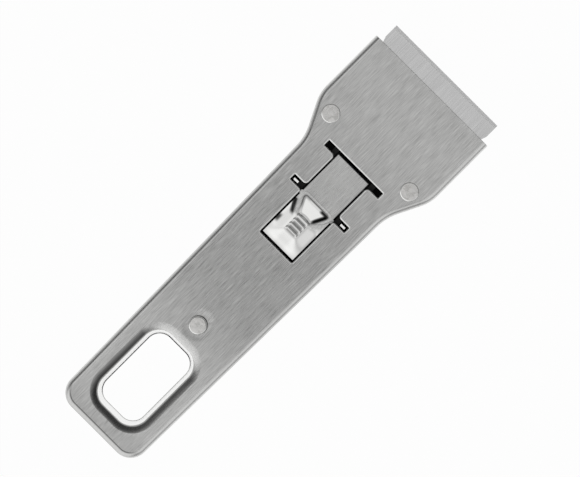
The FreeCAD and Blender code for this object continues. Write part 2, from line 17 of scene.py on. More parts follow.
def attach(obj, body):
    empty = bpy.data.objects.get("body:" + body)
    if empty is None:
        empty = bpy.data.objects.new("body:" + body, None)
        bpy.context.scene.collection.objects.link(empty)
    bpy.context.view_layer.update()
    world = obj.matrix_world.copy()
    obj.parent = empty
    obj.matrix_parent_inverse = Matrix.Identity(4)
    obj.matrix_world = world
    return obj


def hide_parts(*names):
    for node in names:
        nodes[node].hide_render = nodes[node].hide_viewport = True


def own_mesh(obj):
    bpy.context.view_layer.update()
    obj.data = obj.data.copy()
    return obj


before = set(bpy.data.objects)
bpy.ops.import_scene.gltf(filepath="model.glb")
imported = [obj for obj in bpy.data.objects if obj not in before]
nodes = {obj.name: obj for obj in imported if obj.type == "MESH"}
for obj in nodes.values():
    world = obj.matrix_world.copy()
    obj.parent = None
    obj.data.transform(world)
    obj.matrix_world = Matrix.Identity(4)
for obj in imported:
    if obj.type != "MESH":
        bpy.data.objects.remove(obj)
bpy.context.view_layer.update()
MM = 0.001


def put(name, data):
    """A new object with this data, in the scene."""
    made = bpy.data.objects.new(name, data)
    bpy.context.scene.collection.objects.link(made)
    return made


# %% [markdown]
# ## The camera
# The photograph looks straight down on the tool, which lies at a slant across the picture. A long lens far
# above keeps the perspective as flat as it is there. The camera is only turned about the vertical, so that
# the blade points to the upper right.

# %% Camera
PICTURE_WIDTH = 162.9   # millimetres of the tool's top face across the picture
CAMERA_DISTANCE = 1100.0
CAMERA_AIM = (6.65, -1.1, 6.4)
CAMERA_TURN = -45.05

camera_data = bpy.data.cameras.new("camera")
camera_data.sensor_fit = "HORIZONTAL"
camera_data.sensor_width = 36.0
camera_data.lens = camera_data.sensor_width * CAMERA_DISTANCE / PICTURE_WIDTH
camera_data.clip_end = 20.0
camera = put("camera", camera_data)
camera.location = Vector(CAMERA_AIM) * MM + Vector((0, 0, CAMERA_DISTANCE)) * MM
camera.rotation_euler = (0, 0, math.radians(CAMERA_TURN))
bpy.context.scene.camera = camera
print(f"camera: lens {camera_data.lens:.0f} mm")

# %% [markdown]
# ## Small surface tools
# Every new piece below is a sheet of metal, so a few tools are enough. `rounded_path` turns corner points
# into an outline with round corners. `swept` carries a profile along such an outline. `plate` fills the
# space between outlines with triangles, and `slab` is two plates with their edges. `weld` joins the patches
# into one mesh and keeps the exact normals of each, so flat faces are truly flat and rolled edges truly round.

# %% Paths
def right_normals(ways):
    """Unit vectors a quarter turn to the right of each way."""
    ways = ways / np.linalg.norm(ways, axis=1)[:, None]
    return np.stack([ways[:, 1], -ways[:, 0]], axis=1)


def unit_vectors(angle):
    return np.stack([np.cos(angle), np.sin(angle)], axis=-1)


def unit_ring(steps):
    return unit_vectors(np.linspace(0, 2 * np.pi, steps, endpoint=False))


def both_sides(half):
    """The +Y half of an outline, front to back, completed by its mirror image; runs anticlockwise."""
    return list(half) + [(x, -y, radius) for x, y, radius in reversed(half)]


def rounded_path(corners, arc_points):
    """Closed outline round corners (x, y, r). A corner with edge normals a and b turns on a circle of radius r
    about corner - s r (a + b) / (1 + a.b), where s is 1 for a left turn and -1 for a right turn.
    Gives points and normals; the normals point to the right of the way."""
    corners = np.asarray(corners, float)
    spots = corners[:, :2]
    first = right_normals(spots - np.roll(spots, 1, axis=0))
    second = np.roll(first, -1, axis=0)
    cosine = (first * second).sum(1)
    turn = np.arctan2(first[:, 0] * second[:, 1] - first[:, 1] * second[:, 0], cosine)
    reach = (np.sign(turn) * corners[:, 2])[:, None]
    centre = spots - reach * (first + second) / (1 + cosine)[:, None]
    start = np.arctan2(first[:, 1], first[:, 0])
    normals = unit_vectors(start[:, None] + turn[:, None] * np.linspace(0, 1, arc_points))
    points = centre[:, None] + reach[:, None] * normals
    return points.reshape(-1, 2), normals.reshape(-1, 2)


def circle_path(middle, radius, steps=72):
    """Points at one radius round a middle, with their normals."""
    normals = unit_ring(steps)
    return np.asarray(middle) + radius * normals, normals


# %% Patches
DIGITS, RING_STEPS = 3, 64   # lengths are rounded to micrometres; steps round a rivet


def patch(points, normals, faces, finish=0):
    """One piece of surface: points (n, 3), a normal for each or one for all, and face rows of three or four
    indices. Faces are turned so that they look the way their normals point."""
    normals = np.zeros(points.shape) + normals
    first, second, third = [points[faces[:, corner]] for corner in range(3)]
    facing = np.cross(second - first, third - first)
    if (facing * normals[faces].mean(1)).sum() < 0:
        faces = faces[:, ::-1]
    return {"points": points, "normals": normals, "faces": faces, "finish": finish}


def raised(flat, height):
    """Points (..., 2) with heights as their third number."""
    return np.concatenate([flat, np.broadcast_to(height, flat.shape[:-1])[..., None]], axis=-1)


def laid_over(patches, axes, side):
    """Patches with their axes in another order and y times side."""
    return [patch(p["points"][:, axes] * (1, side, 1), p["normals"][:, axes] * (1, side, 1), p["faces"])
            for p in patches]


def grid_patch(points, normals, closed=False, finish=0):
    """Surface over a grid of two parameters, arrays (u, v, 3); closed joins the last row of u to the first."""
    rows, columns = points.shape[:2]
    index = np.arange(rows * columns).reshape(rows, columns)
    if closed:
        index = np.concatenate([index, index[:1]])
    faces = np.stack([index[:-1, :-1], index[1:, :-1], index[1:, 1:], index[:-1, 1:]], axis=-1).reshape(-1, 4)
    return patch(points.reshape(-1, 3), np.broadcast_to(normals, points.shape).reshape(-1, 3), faces, finish)


def swept(path, path_normals, profile, closed=True, finish=0, polish=None):
    """Profile carried along a path. A profile row is (offset, height, sideways, upward): the point moves by
    offset along the path's normal, and the surface normal is sideways times that normal plus upward times z.
    Polish is one number for each row of the profile."""
    profile = np.asarray(profile, float)
    across, sideways = path[:, None], path_normals[:, None]
    points = raised(across + profile[:, :1] * sideways, profile[:, 1])
    made = grid_patch(points, raised(profile[:, 2:3] * sideways, profile[:, 3]), closed, finish)
    if polish is not None:
        made["polish"] = np.tile(polish, len(path))
    return made


def crossings(spots, loop):
    """How many edges of a closed loop a ray from each spot towards +X crosses."""
    start, end = loop[None], np.roll(loop, -1, axis=0)[None]
    x, y = spots[:, None, 0], spots[:, None, 1]
    straddles = (start[..., 1] > y) != (end[..., 1] > y)
    rise = np.where(straddles, end[..., 1] - start[..., 1], 1.0)
    meets = start[..., 0] + (y - start[..., 1]) * (end[..., 0] - start[..., 0]) / rise
    return (straddles & (x < meets)).sum(1)


def plate(loops, height, upward, spots=None, shape=None, finish=0):
    """Flat sheet between closed loops: Delaunay triangles that keep the loops as edges, where a triangle stays
    if its middle lies inside an odd number of loops. Spots are more points, and shape gives their depth."""
    counts = np.array([len(loop) for loop in loops])
    starts = np.cumsum(counts) - counts
    rings = [np.arange(n) for n in counts]
    edges = np.concatenate([np.stack([ring, np.roll(ring, -1)], 1) + s for ring, s in zip(rings, starts)])
    flat = np.round(np.concatenate(list(loops) + ([] if spots is None else [spots])), DIGITS)
    found = delaunay_2d_cdt([Vector(spot) for spot in flat], edges.tolist(), [], 0, 1e-7)
    flat = np.array([tuple(spot) for spot in found[0]])
    triangles = np.array(found[2])
    inside = sum(crossings(flat[triangles].mean(1), loop) for loop in loops) % 2 == 1
    rise, normals = shape(flat) if shape else (0.0, (0.0, 0.0, upward))
    return patch(raised(flat, height + rise), normals, triangles[inside], finish)


def slab(loops, top, bottom):
    """Sheet between two heights: a plate on either side, and the edges of its loops, an outer one and any hole."""
    made = [plate([path for path, _ in loops], height, way) for height, way in ((top, 1.0), (bottom, -1.0))]
    return made + [swept(path, normals, [[0, top, way, 0], [0, bottom, way, 0]])
                   for (path, normals), way in zip(loops, (1, -1))]


# %% One mesh from patches
MARKS = ("polish", "painted_shade")   # what a patch can say about its points: polish is real wear, the second mark is painted shade


def weld(name, patches, body, replaced, finishes):
    """Joins patches to one mesh: points that agree to a thousandth of a millimetre become one, and each face
    corner keeps the normal that its patch gave. Lengths go from millimetres to metres here."""
    counts = [len(p["points"]) for p in patches]
    starts = np.cumsum(counts) - counts
    points = np.round(np.concatenate([p["points"] for p in patches]), DIGITS)
    normals = np.concatenate([p["normals"] for p in patches])
    joined, place = np.unique(points, axis=0, return_inverse=True)
    place = place.reshape(-1)
    faces, corners, marks = [], [], []
    for p, start in zip(patches, starts):
        own = p["faces"] + start
        merged = place[own]
        repeats = merged == np.roll(merged, 1, axis=1)
        size, apart = own.shape[1], True
        if size == 4:
            apart = (merged[:, 0] != merged[:, 2]) & (merged[:, 1] != merged[:, 3])
        for lost in (1, 0)[4 - size:]:   # faces that lose a corner by the joining, then whole ones
            chosen = (repeats.sum(1) == lost) & apart
            keep = ~repeats[chosen]
            faces += merged[chosen][keep].reshape(-1, size - lost).tolist()
            corners.append(own[chosen][keep])
            marks += [p["finish"]] * int(chosen.sum())
    mesh = bpy.data.meshes.new(name)
    mesh.from_pydata((joined * MM).tolist(), [], faces)
    mesh.polygons.foreach_set("use_smooth", np.ones(len(faces), bool))
    mesh.polygons.foreach_set("material_index", np.array(marks, np.int32))
    for label in MARKS:
        mark = np.zeros(len(joined), np.float32)
        np.maximum.at(mark, place, np.concatenate([p.get(label, np.zeros(len(p["points"]))) for p in patches]))
        if mark.any():
            mesh.attributes.new(label, "FLOAT", "POINT").data.foreach_set("value", mark)
    mesh.update()
    mesh.normals_split_custom_set(normals[np.concatenate(corners)].tolist())
    piece = put(name, mesh)
    for finish in finishes:
        mesh.materials.append(finish)
    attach(piece, body)
    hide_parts(*replaced)
    print(f"{name}: {len(joined)} points, {len(faces)} faces, rides on {body}")
    return piece


# %% [markdown]
# ## Brushed steel
# The covers are belt-ground along the tool: thousands of fine scratches, each a few millimetres long and
# about a tenth wide. A picture of scratches would not survive a close look, so the grain is noise that is
# stretched along X. It is needed on several steels, so it is a node group. A second group gives the
# slow, cloudy haze that hands leave on metal.

# %% Node helpers
def new_group(name, inputs, outputs):
    group = bpy.data.node_groups.new(name, "ShaderNodeTree")
    for label, default in inputs:
        socket = group.interface.new_socket(name=label, in_out="INPUT", socket_type="NodeSocketFloat")
        socket.default_value = default
    for label in outputs:
        group.interface.new_socket(name=label, in_out="OUTPUT", socket_type="NodeSocketFloat")
    return group, group.nodes.new("NodeGroupInput"), group.nodes.new("NodeGroupOutput")


def feed(tree, node, values):
    """Sets or links the (socket, value or output) pairs of a node."""
    for socket, value in values:
        if isinstance(value, bpy.types.NodeSocket):
            tree.links.new(value, node.inputs[socket])
        else:
            node.inputs[socket].default_value = value


def add_node(tree, kind, values=(), **settings):
    """A node with its settings, fed with its values."""
    node = tree.nodes.new(kind)
    for name, value in settings.items():
        setattr(node, name, value)
    feed(tree, node, values)
    return node


def nodes_of(material):
    return material.node_tree, material.node_tree.nodes["Principled BSDF"]


def math_node(tree, operation, first, second=0.0, third=0.0):
    values = [(0, first), (1, second), (2, third)]
    return add_node(tree, "ShaderNodeMath", values, operation=operation).outputs[0]


def between(tree, value, low, high, to_low=0.0, to_high=1.0):
    """Value carried from low..high to to_low..to_high with soft ends."""
    values = [("Value", value), ("From Min", low), ("From Max", high), ("To Min", to_low), ("To Max", to_high)]
    return add_node(tree, "ShaderNodeMapRange", values, interpolation_type="SMOOTHSTEP").outputs["Result"]


# %% Grain and haze
def make_grain_group():
    """Scratches: noise on (x / length, y / width, z / width), once fine and once three times as coarse."""
    group, ins, outs = new_group("brushed grain", [("Length", 9.0), ("Width", 0.16)], ["Fine", "Coarse"])
    place = add_node(group, "ShaderNodeTexCoord").outputs["Object"]
    along = math_node(group, "DIVIDE", 1 / MM, ins.outputs["Length"])
    across = math_node(group, "DIVIDE", 1 / MM, ins.outputs["Width"])
    for label, coarser, detail in (("Fine", 1.0, 3.0), ("Coarse", 3.2, 2.0)):
        scale = add_node(group, "ShaderNodeCombineXYZ", [("X", along), ("Y", across), ("Z", across)]).outputs[0]
        shrunk = add_node(group, "ShaderNodeVectorMath", [(0, scale), (1, (1 / coarser,) * 3)], operation="MULTIPLY")
        values = [(0, place), (1, shrunk.outputs[0])]
        spot = add_node(group, "ShaderNodeVectorMath", values, operation="MULTIPLY")
        values = [("Vector", spot.outputs[0]), ("Scale", 1.0), ("Detail", detail), ("Roughness", 0.6)]
        noise = add_node(group, "ShaderNodeTexNoise", values)
        group.links.new(noise.outputs["Fac"], outs.inputs[label])
    return group


def make_haze_group():
    """Cloudy patches: two sizes of noise, the larger one bending the smaller."""
    group, ins, outs = new_group("handling haze", [("Patch", 14.0)], ["Cloud"])
    place = add_node(group, "ShaderNodeTexCoord").outputs["Object"]
    rate = math_node(group, "DIVIDE", 1 / MM, ins.outputs["Patch"])
    values = [("Vector", place), ("Scale", rate), ("Detail", 4.0), ("Distortion", 0.6)]
    cloud = add_node(group, "ShaderNodeTexNoise", values)
    group.links.new(cloud.outputs["Fac"], outs.inputs["Cloud"])
    return group


grain_group, haze_group = make_grain_group(), make_haze_group()
print("node groups:", [g.name for g in bpy.data.node_groups])


# %% Steels
COARSE_SHARE, FINE_SHARE, CLOUD_SHARE, STREAK_SHARE = 0.2, 0.8, 0.2, 0.6
NOISE_RANGE, HAZE_PATCH = (0.3, 0.7), 16.0
CLEAR_HEAD, CLEAR_TAIL = (0.005, 0.055), (-0.045, -0.015)   # x where the handle turns lighter towards the head and towards the tail, in metres
TAIL_DIP = (-0.068, -0.060, 0.55)                           # and where the very end of the tail is darker again, keeping this share of that lightness
# The first colour is the black of painted shade.
SHADE_BLACK, WHITE = (0.015, 0.015, 0.015), (1.0, 1.0, 1.0)


def place_group(tree, group, **values):
    return add_node(tree, "ShaderNodeGroup", values.items(), node_tree=group).outputs


def blend(tree, mask, first, second):
    """First where the mask is 0, second where it is 1: colours if second is a tuple, else numbers."""
    kind, at, out = ("RGBA", 6, 2) if isinstance(second, tuple) else ("FLOAT", 2, 0)
    values = [("Factor", mask), (at, first), (at + 1, second)]
    return add_node(tree, "ShaderNodeMix", values, data_type=kind).outputs[out]


def weighed(tree, first, share, second, other_share):
    """First times its share plus second times its own."""
    return math_node(tree, "MULTIPLY_ADD", first, share, math_node(tree, "MULTIPLY", second, other_share))


def object_x(tree):
    place = add_node(tree, "ShaderNodeTexCoord").outputs["Object"]
    return add_node(tree, "ShaderNodeSeparateXYZ", [(0, place)]).outputs["X"]


def new_steel(name, anisotropy=0.0):
    material = bpy.data.materials.new(name)
    material.use_nodes = True
    tree, shader = nodes_of(material)
    feed(tree, shader, [("Metallic", 1.0), ("Anisotropic", anisotropy)])
    return material, tree, shader


def tinted(tree, shader, tint, dark, light, rough, height, relief):
    """Colour and roughness follow the tint from 0 to 1, and the height stands out by its relief in metres."""
    colour = blend(tree, tint, (*dark, 1), (*light, 1))
    feed(tree, shader, [("Base Color", colour), ("Roughness", between(tree, tint, 0.0, 1.0, *rough))])
    if relief:
        bump = add_node(tree, "ShaderNodeBump", [("Height", height), ("Distance", relief), ("Strength", 1.0)])
        feed(tree, shader, [("Normal", bump.outputs["Normal"])])


def brushed_steel(name, dark, light, rough, grain_size, relief, anisotropy, clear=0.0):
    """Steel whose grain tints it between dark and light, roughens it and stands out.
    The head and the tail end are lighter than the middle of the handle by the share `clear`."""
    material, tree, shader = new_steel(name, anisotropy)
    across = add_node(tree, "ShaderNodeTangent", direction_type="RADIAL", axis="X")
    feed(tree, shader, [("Tangent", across.outputs[0])])
    grain = place_group(tree, grain_group, Length=grain_size[0], Width=grain_size[1])
    cloud = place_group(tree, haze_group, Patch=HAZE_PATCH)["Cloud"]
    streak = between(tree, weighed(tree, grain["Coarse"], COARSE_SHARE, grain["Fine"], FINE_SHARE), *NOISE_RANGE)
    tint = weighed(tree, cloud, CLOUD_SHARE, streak, STREAK_SHARE)
    if clear:
        x = object_x(tree)
        dip = between(tree, x, *TAIL_DIP, 1.0)
        tail = math_node(tree, "MULTIPLY", between(tree, x, *CLEAR_TAIL, 1.0, 0.0), dip)
        ends = math_node(tree, "ADD", between(tree, x, *CLEAR_HEAD), tail)
        tint = math_node(tree, "MULTIPLY_ADD", ends, clear, tint)
    tinted(tree, shader, tint, dark, light, rough, streak, relief)
    return material


def plain_steel(name, dark, light, rough, patch_size, relief=0.0):
    """Steel without a grain: only haze in colour and roughness, and a little relief."""
    material, tree, shader = new_steel(name)
    cloud = between(tree, place_group(tree, haze_group, Patch=patch_size)["Cloud"], *NOISE_RANGE)
    tinted(tree, shader, cloud, dark, light, rough, cloud, relief)
    return material


def rework(tree, node, socket, mask, value):
    """Carries what comes into a socket over to another value where the mask is 1."""
    feed(tree, node, [(socket, blend(tree, mask, node.inputs[socket].links[0].from_socket, value))])


def ground_edge(material, start, rough, matt):
    """Cutting bevel from x = start to the front: ground across, so it is dull and partly matt; it is painted white,
    partly the pale grind and partly a painted highlight.
    """
    tree, shader = nodes_of(material)
    bevel = between(tree, object_x(tree), start - 0.02 * MM, start + 0.02 * MM)
    rework(tree, shader, "Base Color", bevel, (*WHITE, 1))
    rework(tree, shader, "Roughness", bevel, rough)
    feed(tree, shader, [("Metallic", math_node(tree, "MULTIPLY_ADD", bevel, -matt, 1.0))])


def polished_with_painted_shade(name, steel, colour, rough):
    """A copy of a steel that turns into a mirror finish where the mesh's "polish" is 1, and that is painted black
    where the mesh's shade mark is 1: painted shade in its folds and bends."""
    material = steel.copy()
    material.name = name
    tree, shader = nodes_of(material)
    polish, painted_shade = [add_node(tree, "ShaderNodeAttribute", attribute_name=mark).outputs["Fac"] for mark in MARKS]
    rework(tree, shader, "Base Color", polish, (*colour, 1))
    rework(tree, shader, "Base Color", painted_shade, (*SHADE_BLACK, 1))
    rework(tree, shader, "Roughness", polish, rough)
    rework(tree, next(node for node in tree.nodes if node.type == "BUMP"), "Height", polish, 0.0)
    return material


brushed = brushed_steel("brushed_steel", (0.27, 0.27, 0.267), (0.80, 0.80, 0.79), (0.26, 0.36),
                        grain_size=(4.5, 0.16), relief=3e-6, anisotropy=0.5, clear=0.28)
cover_steel = polished_with_painted_shade("cover_brushed_steel", brushed, (0.93, 0.93, 0.92), 0.16)
latch_steel = polished_with_painted_shade("latch_polished_steel", brushed, (0.84, 0.84, 0.83), 0.08)
blade_steel = brushed_steel("blade_ground_steel", (0.62, 0.62, 0.62), (0.95, 0.95, 0.95), (0.22, 0.30),
                            grain_size=(10.0, 0.15), relief=1e-6, anisotropy=0.3)
ground_edge(blade_steel, start=69.25 * MM, rough=0.6, matt=0.7)
turned = plain_steel("turned_steel", (0.60, 0.595, 0.58), (0.86, 0.85, 0.835), (0.26, 0.40), 1.2, 6e-6)
rivet_steel = polished_with_painted_shade("rivet_turned_steel", turned, (0.97, 0.97, 0.96), 0.12)
# The covers' inside faces and the blade carrier are painted near black: painted shade inside the housing.
shaded_inside_steel = plain_steel("inside_painted_shade_steel", (0.024, 0.024, 0.024), (0.042, 0.042, 0.041), (0.55, 0.7), 6.0)
spring_steel = plain_steel("leaf_spring_steel", (0.04, 0.043, 0.05), (0.08, 0.085, 0.10), (0.3, 0.45), 2.0)
pin_steel = plain_steel("pin_steel", (0.05, 0.05, 0.05), (0.09, 0.09, 0.09), (0.3, 0.4), 2.0)
print("materials:", [material.name for material in bpy.data.materials])

# %% [markdown]
# ## The two covers
# A cover is a pan of 0.8 mm sheet: a flat plate, a rolled rim, a drawn collar round the hanging eye, and
# holes with slightly rounded edges. Each of these is one profile carried along one outline, and the plate
# fills what is left. Depth is counted from the outside face, so one function makes both covers:
# the top cover turned up, the bottom cover turned down.

# %% Sizes of the covers, in millimetres
BODY_HEIGHT, SEAM_DEPTH, SHEET, LIP, LIP_STEPS, OPENING_LIP = 6.4, 3.2, 0.8, 0.12, 6, (0.44, 0.13)
EDGE_ROLL, ROLL_WIDTH, FRONT_CORNER = 1.2, 1.7, 2.2
HEAD_FRONT, TAIL = 64.25, -70.25
HALF_PLAN = [(HEAD_FRONT, 22.0, 0.0), (41.70, 22.0, 12.0), (29.85, 16.15, 15.0), (TAIL, 14.475, 5.5)]
EYE_MIDDLE, EYE_LENGTH, EYE_WIDTH, EYE_CORNER = -49.70, 27.4, 16.7, 5.3
EYE_LEAN, EYE_FOOT_DEPTH, EYE_ROLL, EYE_ENTRY, ENTRY_SLOPES = 0.95, 6.0, 1.3, 1.75, (12.0, 26.0)
HEAD_RIVETS, HANDLE_RIVET = [(39.65, 15.6), (39.65, -15.6)], (-28.75, 0.0)
NEST_THROAT, NEST_RISE = 0.467, 2.4
COUNTERSINK, RIVET_BORE, RIVET_LIP, FOOT_EDGE = 2.80, 2.05, 0.02, 0.15
DIMPLE_WIDTH, DIMPLE_DEPTH = 10.5, 0.22


# %% Outlines
PLAN_ARC = 14   # points on each corner of the plan


def plan_path(has_mouth):
    """The tool's plan. With a mouth the path starts and ends at the head's front corners."""
    corners = both_sides(HALF_PLAN)
    if has_mouth:
        return [line[PLAN_ARC - 1:1 - PLAN_ARC] for line in rounded_path(corners, PLAN_ARC)]
    for end in (0, -1):
        corners[end] = (*corners[end][:2], FRONT_CORNER)
    return rounded_path(corners, PLAN_ARC)


def eye_path():
    ends = EYE_MIDDLE + EYE_LENGTH / 2, EYE_MIDDLE - EYE_LENGTH / 2
    return rounded_path(both_sides([(x, EYE_WIDTH / 2, EYE_CORNER) for x in ends]), 28)


OPENING = both_sides([
    (34.05, 10.65, 0.15), (32.05, 10.65, 0.15), (32.05, 6.425, 1.1), (20.50, 6.425, 1.1),
    (20.50, 10.75, 0.2), (18.55, 10.75, 0.2), (18.55, 6.425, 0.55), (2.05, 6.425, 0.55)])
print("plan points:", len(plan_path(True)[0]), "eye points:", len(eye_path()[0]))


# %% Profiles: offset, depth, and the normal as (sideways, outward)
def arc(centre, radius, start, end, steps, turned_in=1):
    """Quarter-round rows: centre + r (sin t sideways, cos t outward), for t from start to end in degrees."""
    angle = np.radians(np.linspace(start, end, steps))
    side, outward = turned_in * np.sin(angle), np.cos(angle)
    return np.column_stack([centre[0] + radius * side, centre[1] - radius * outward, side, outward])


def ellipse(width, depth, steps, turned_in=1):
    """Quarter ellipse (w sin t, d (1 - cos t)) from the flat face to the wall; normals as (d sin t, w cos t)."""
    rows = arc((-turned_in, 1), 1, 0, 90, steps, turned_in) * (width, depth, depth, width)
    rows[:, 2:] /= np.linalg.norm(rows[:, 2:], axis=1)[:, None]
    return rows


def on_face(rows, sheet_depth):
    """Rows as they are on the outside face, and with their normals turned round on the inside face."""
    return rows if sheet_depth == 0 else rows * (1, 1, -1, -1)


def rim_profile(sheet_depth):
    """Rolled rim: a quarter ellipse outside, a quarter round inside, then straight down to the seam."""
    bend = ellipse(ROLL_WIDTH, EDGE_ROLL, 14)
    if sheet_depth:
        bend = arc((-EDGE_ROLL, EDGE_ROLL), EDGE_ROLL - sheet_depth, 0, 90, 14)
    return on_face(np.concatenate([bend, [[-sheet_depth, SEAM_DEPTH, 1, 0]]]), sheet_depth)


def lip_profile(width, depth, radius_change=0.0):
    """Edge of a punched hole: a quarter ellipse, as the punch draws the sheet down a little before it cuts, then
    the wall through the sheet, drawn in by radius_change."""
    slope = math.atan2(radius_change, SHEET - depth)
    wall = [[0, depth, -math.cos(slope), math.sin(slope)],
            [-radius_change, SHEET, -math.cos(slope), math.sin(slope)]]
    return np.concatenate([ellipse(width, depth, 9, -1), wall])


def collar_profile(sheet_depth):
    """Drawn eye of the top cover: a crease, a run whose slope grows from g to h, a round of the eye's radius, and
    a wall that leans in to its foot. The run's depth is its length times (g u + (h - g) u^2 / 2), u from 0 to 1."""
    lean = math.degrees(math.atan2(EYE_LEAN, EYE_FOOT_DEPTH))
    start = EYE_ROLL * math.tan(math.radians(90 - lean) / 2)
    g, h = np.tan(np.radians(ENTRY_SLOPES))
    fall, turned = EYE_ENTRY * (g + h) / 2, math.radians(ENTRY_SLOPES[1])
    middle = (start, fall + EYE_ROLL * math.cos(turned))
    bend = arc(middle, EYE_ROLL - sheet_depth, ENTRY_SLOPES[1], 90 - lean, 22, -1)
    u = np.linspace(0, 1, 8, endpoint=False)
    tilt = np.arctan(g + (h - g) * u)
    run = EYE_ENTRY * (g * u + (h - g) * u**2 / 2)
    offset = start - EYE_ROLL * math.sin(turned) + EYE_ENTRY * (1 - u)
    side, outward = -np.sin(tilt), np.cos(tilt)
    entry = np.column_stack([offset - sheet_depth * side, run + sheet_depth * outward, side, outward])
    if sheet_depth:
        entry[0, 1] = sheet_depth
    foot = np.array([sheet_depth * math.cos(math.radians(lean)) - EYE_LEAN, EYE_FOOT_DEPTH, *bend[-1, 2:]])
    return on_face(np.concatenate([entry, bend, [0.04 * bend[-1] + 0.96 * foot, foot]]), sheet_depth)


def nest_profile(sheet_depth):
    """Eye of the bottom cover: round of the edge radius into an upright wall round the other collar."""
    bend = arc((NEST_THROAT + EDGE_ROLL, EDGE_ROLL), EDGE_ROLL - sheet_depth, 0, 90, 10, -1)
    return on_face(np.concatenate([bend, [[NEST_THROAT + sheet_depth, NEST_RISE, -1, 0]]]), sheet_depth)


# %% [markdown]
# The handle rivet pulls its cover into a shallow dimple. The dimple only needs a few rings of extra points
# in the plate, lowered by half a cosine wave, with the slope of that wave as normals.

# %% Dimple
def dimple(spots):
    """Depth d (1 + cos(pi t)) / 2 with t going from 0 at the rivet's edge to 1 at the dimple's edge."""
    away = spots - np.asarray(HANDLE_RIVET)
    distance = np.hypot(away[:, 0], away[:, 1])
    inner, outer = COUNTERSINK + RIVET_LIP, DIMPLE_WIDTH / 2
    t = np.clip((distance - inner) / (outer - inner), 0, 1)
    depth = DIMPLE_DEPTH * (1 + np.cos(np.pi * t)) / 2
    slope = DIMPLE_DEPTH * np.pi / 2 * np.sin(np.pi * t) / (outer - inner)
    towards = -away / np.maximum(distance, 1e-6)[:, None]
    normals = np.column_stack([towards * slope[:, None], np.ones(len(spots))])
    return depth, normals / np.linalg.norm(normals, axis=1)[:, None]


def dimple_spots():
    """Rings of points round the handle rivet."""
    radii = np.linspace(COUNTERSINK + RIVET_LIP + 0.15, DIMPLE_WIDTH / 2 + 0.1, 9)
    return (np.asarray(HANDLE_RIVET) + radii[:, None, None] * unit_ring(RING_STEPS)).reshape(-1, 2)


# %% [markdown]
# Hands polish the first part of every bend. Shade is painted into the bend of the eye, strongest on its left side
# and fading at its front end; it is painted too in a crease and on the rim at the tail, and on the eye's lower edge.

# %% Wear and painted shade
RIM_POLISH, EYE_POLISH, LIP_POLISH = 0.75, 0.6, 0.7
# Strengths of the painted shade: in the eye's bend, extra on its left side, in the tail's crease, on the tail's rim.
BEND_SHADE, LEFT_BEND_SHADE, TAIL_CREASE_SHADE, TAIL_RIM_SHADE = 0.6, 0.3, 0.75, 0.16
FLAT, SHADED_STEEPNESS, UPRIGHT, FADE = 0.01, 0.42, 0.95, 0.3   # steepness of places on a bend, and of a change
EYE_POLISH_START, EYE_WALL = 0.22, 0.6


def bell(value, width, power=2):
    """exp(-(v / w)^p): 1 in the middle, falling to both sides."""
    return np.exp(-((value / width) ** power))


def steepness_of(piece):
    """Length of the sideways part of the normals: 0 on flat faces, 1 on upright ones."""
    return np.hypot(piece["normals"][:, 0], piece["normals"][:, 1])


def worn(steepness, start, share):
    """Polish on a bend: up to `share` from the start on, and away again on its upright part."""
    return share * np.clip((steepness - start) / FADE, 0, 1) * np.clip((UPRIGHT - steepness) / FADE, 0, 1)


def shade_in_bend(piece):
    """Painted shade over a bend: a bell over its steepness, fading towards the front end, strongest on the left.
    Points that the plate has too stay unshaded."""
    steepness = steepness_of(piece)
    behind = np.clip((EYE_MIDDLE + EYE_LENGTH / 2 - 2.5 - piece["points"][:, 0]) / 3.0, 0, 1)
    share = BEND_SHADE + LEFT_BEND_SHADE * np.clip(-piece["normals"][:, 1] / np.maximum(steepness, FLAT), 0, 1)
    piece["painted_shade"] = share * bell(steepness - SHADED_STEEPNESS, 0.2) * behind
    piece["painted_shade"][steepness < steepness.min() + FLAT] = 0
    return piece


def tail_line(piece):
    """Painted shade in the crease where the rim at the tail begins to bend, and lighter painted shade on the rim
    behind it, on its faces that look to the back.
    """
    steepness = steepness_of(piece)
    tail_shade = TAIL_CREASE_SHADE * bell(steepness - 0.10, 0.08) * (steepness > FLAT) + TAIL_RIM_SHADE * (steepness > FLAT)
    piece["painted_shade"] = tail_shade * np.clip(-1.5 * piece["normals"][:, 0] / np.maximum(steepness, FLAT) - 0.3, 0, 1)
    return piece


def foot_edge(piece):
    """The eye's lower edge: painted shade at its left side and its front end, polished elsewhere."""
    facing = piece["normals"][:, :2] / steepness_of(piece)[:, None]
    piece["painted_shade"] = np.clip(1.6 * np.max(-facing, axis=1) - 0.6, 0, 1)
    piece["polish"] = 1 - piece["painted_shade"]
    return piece


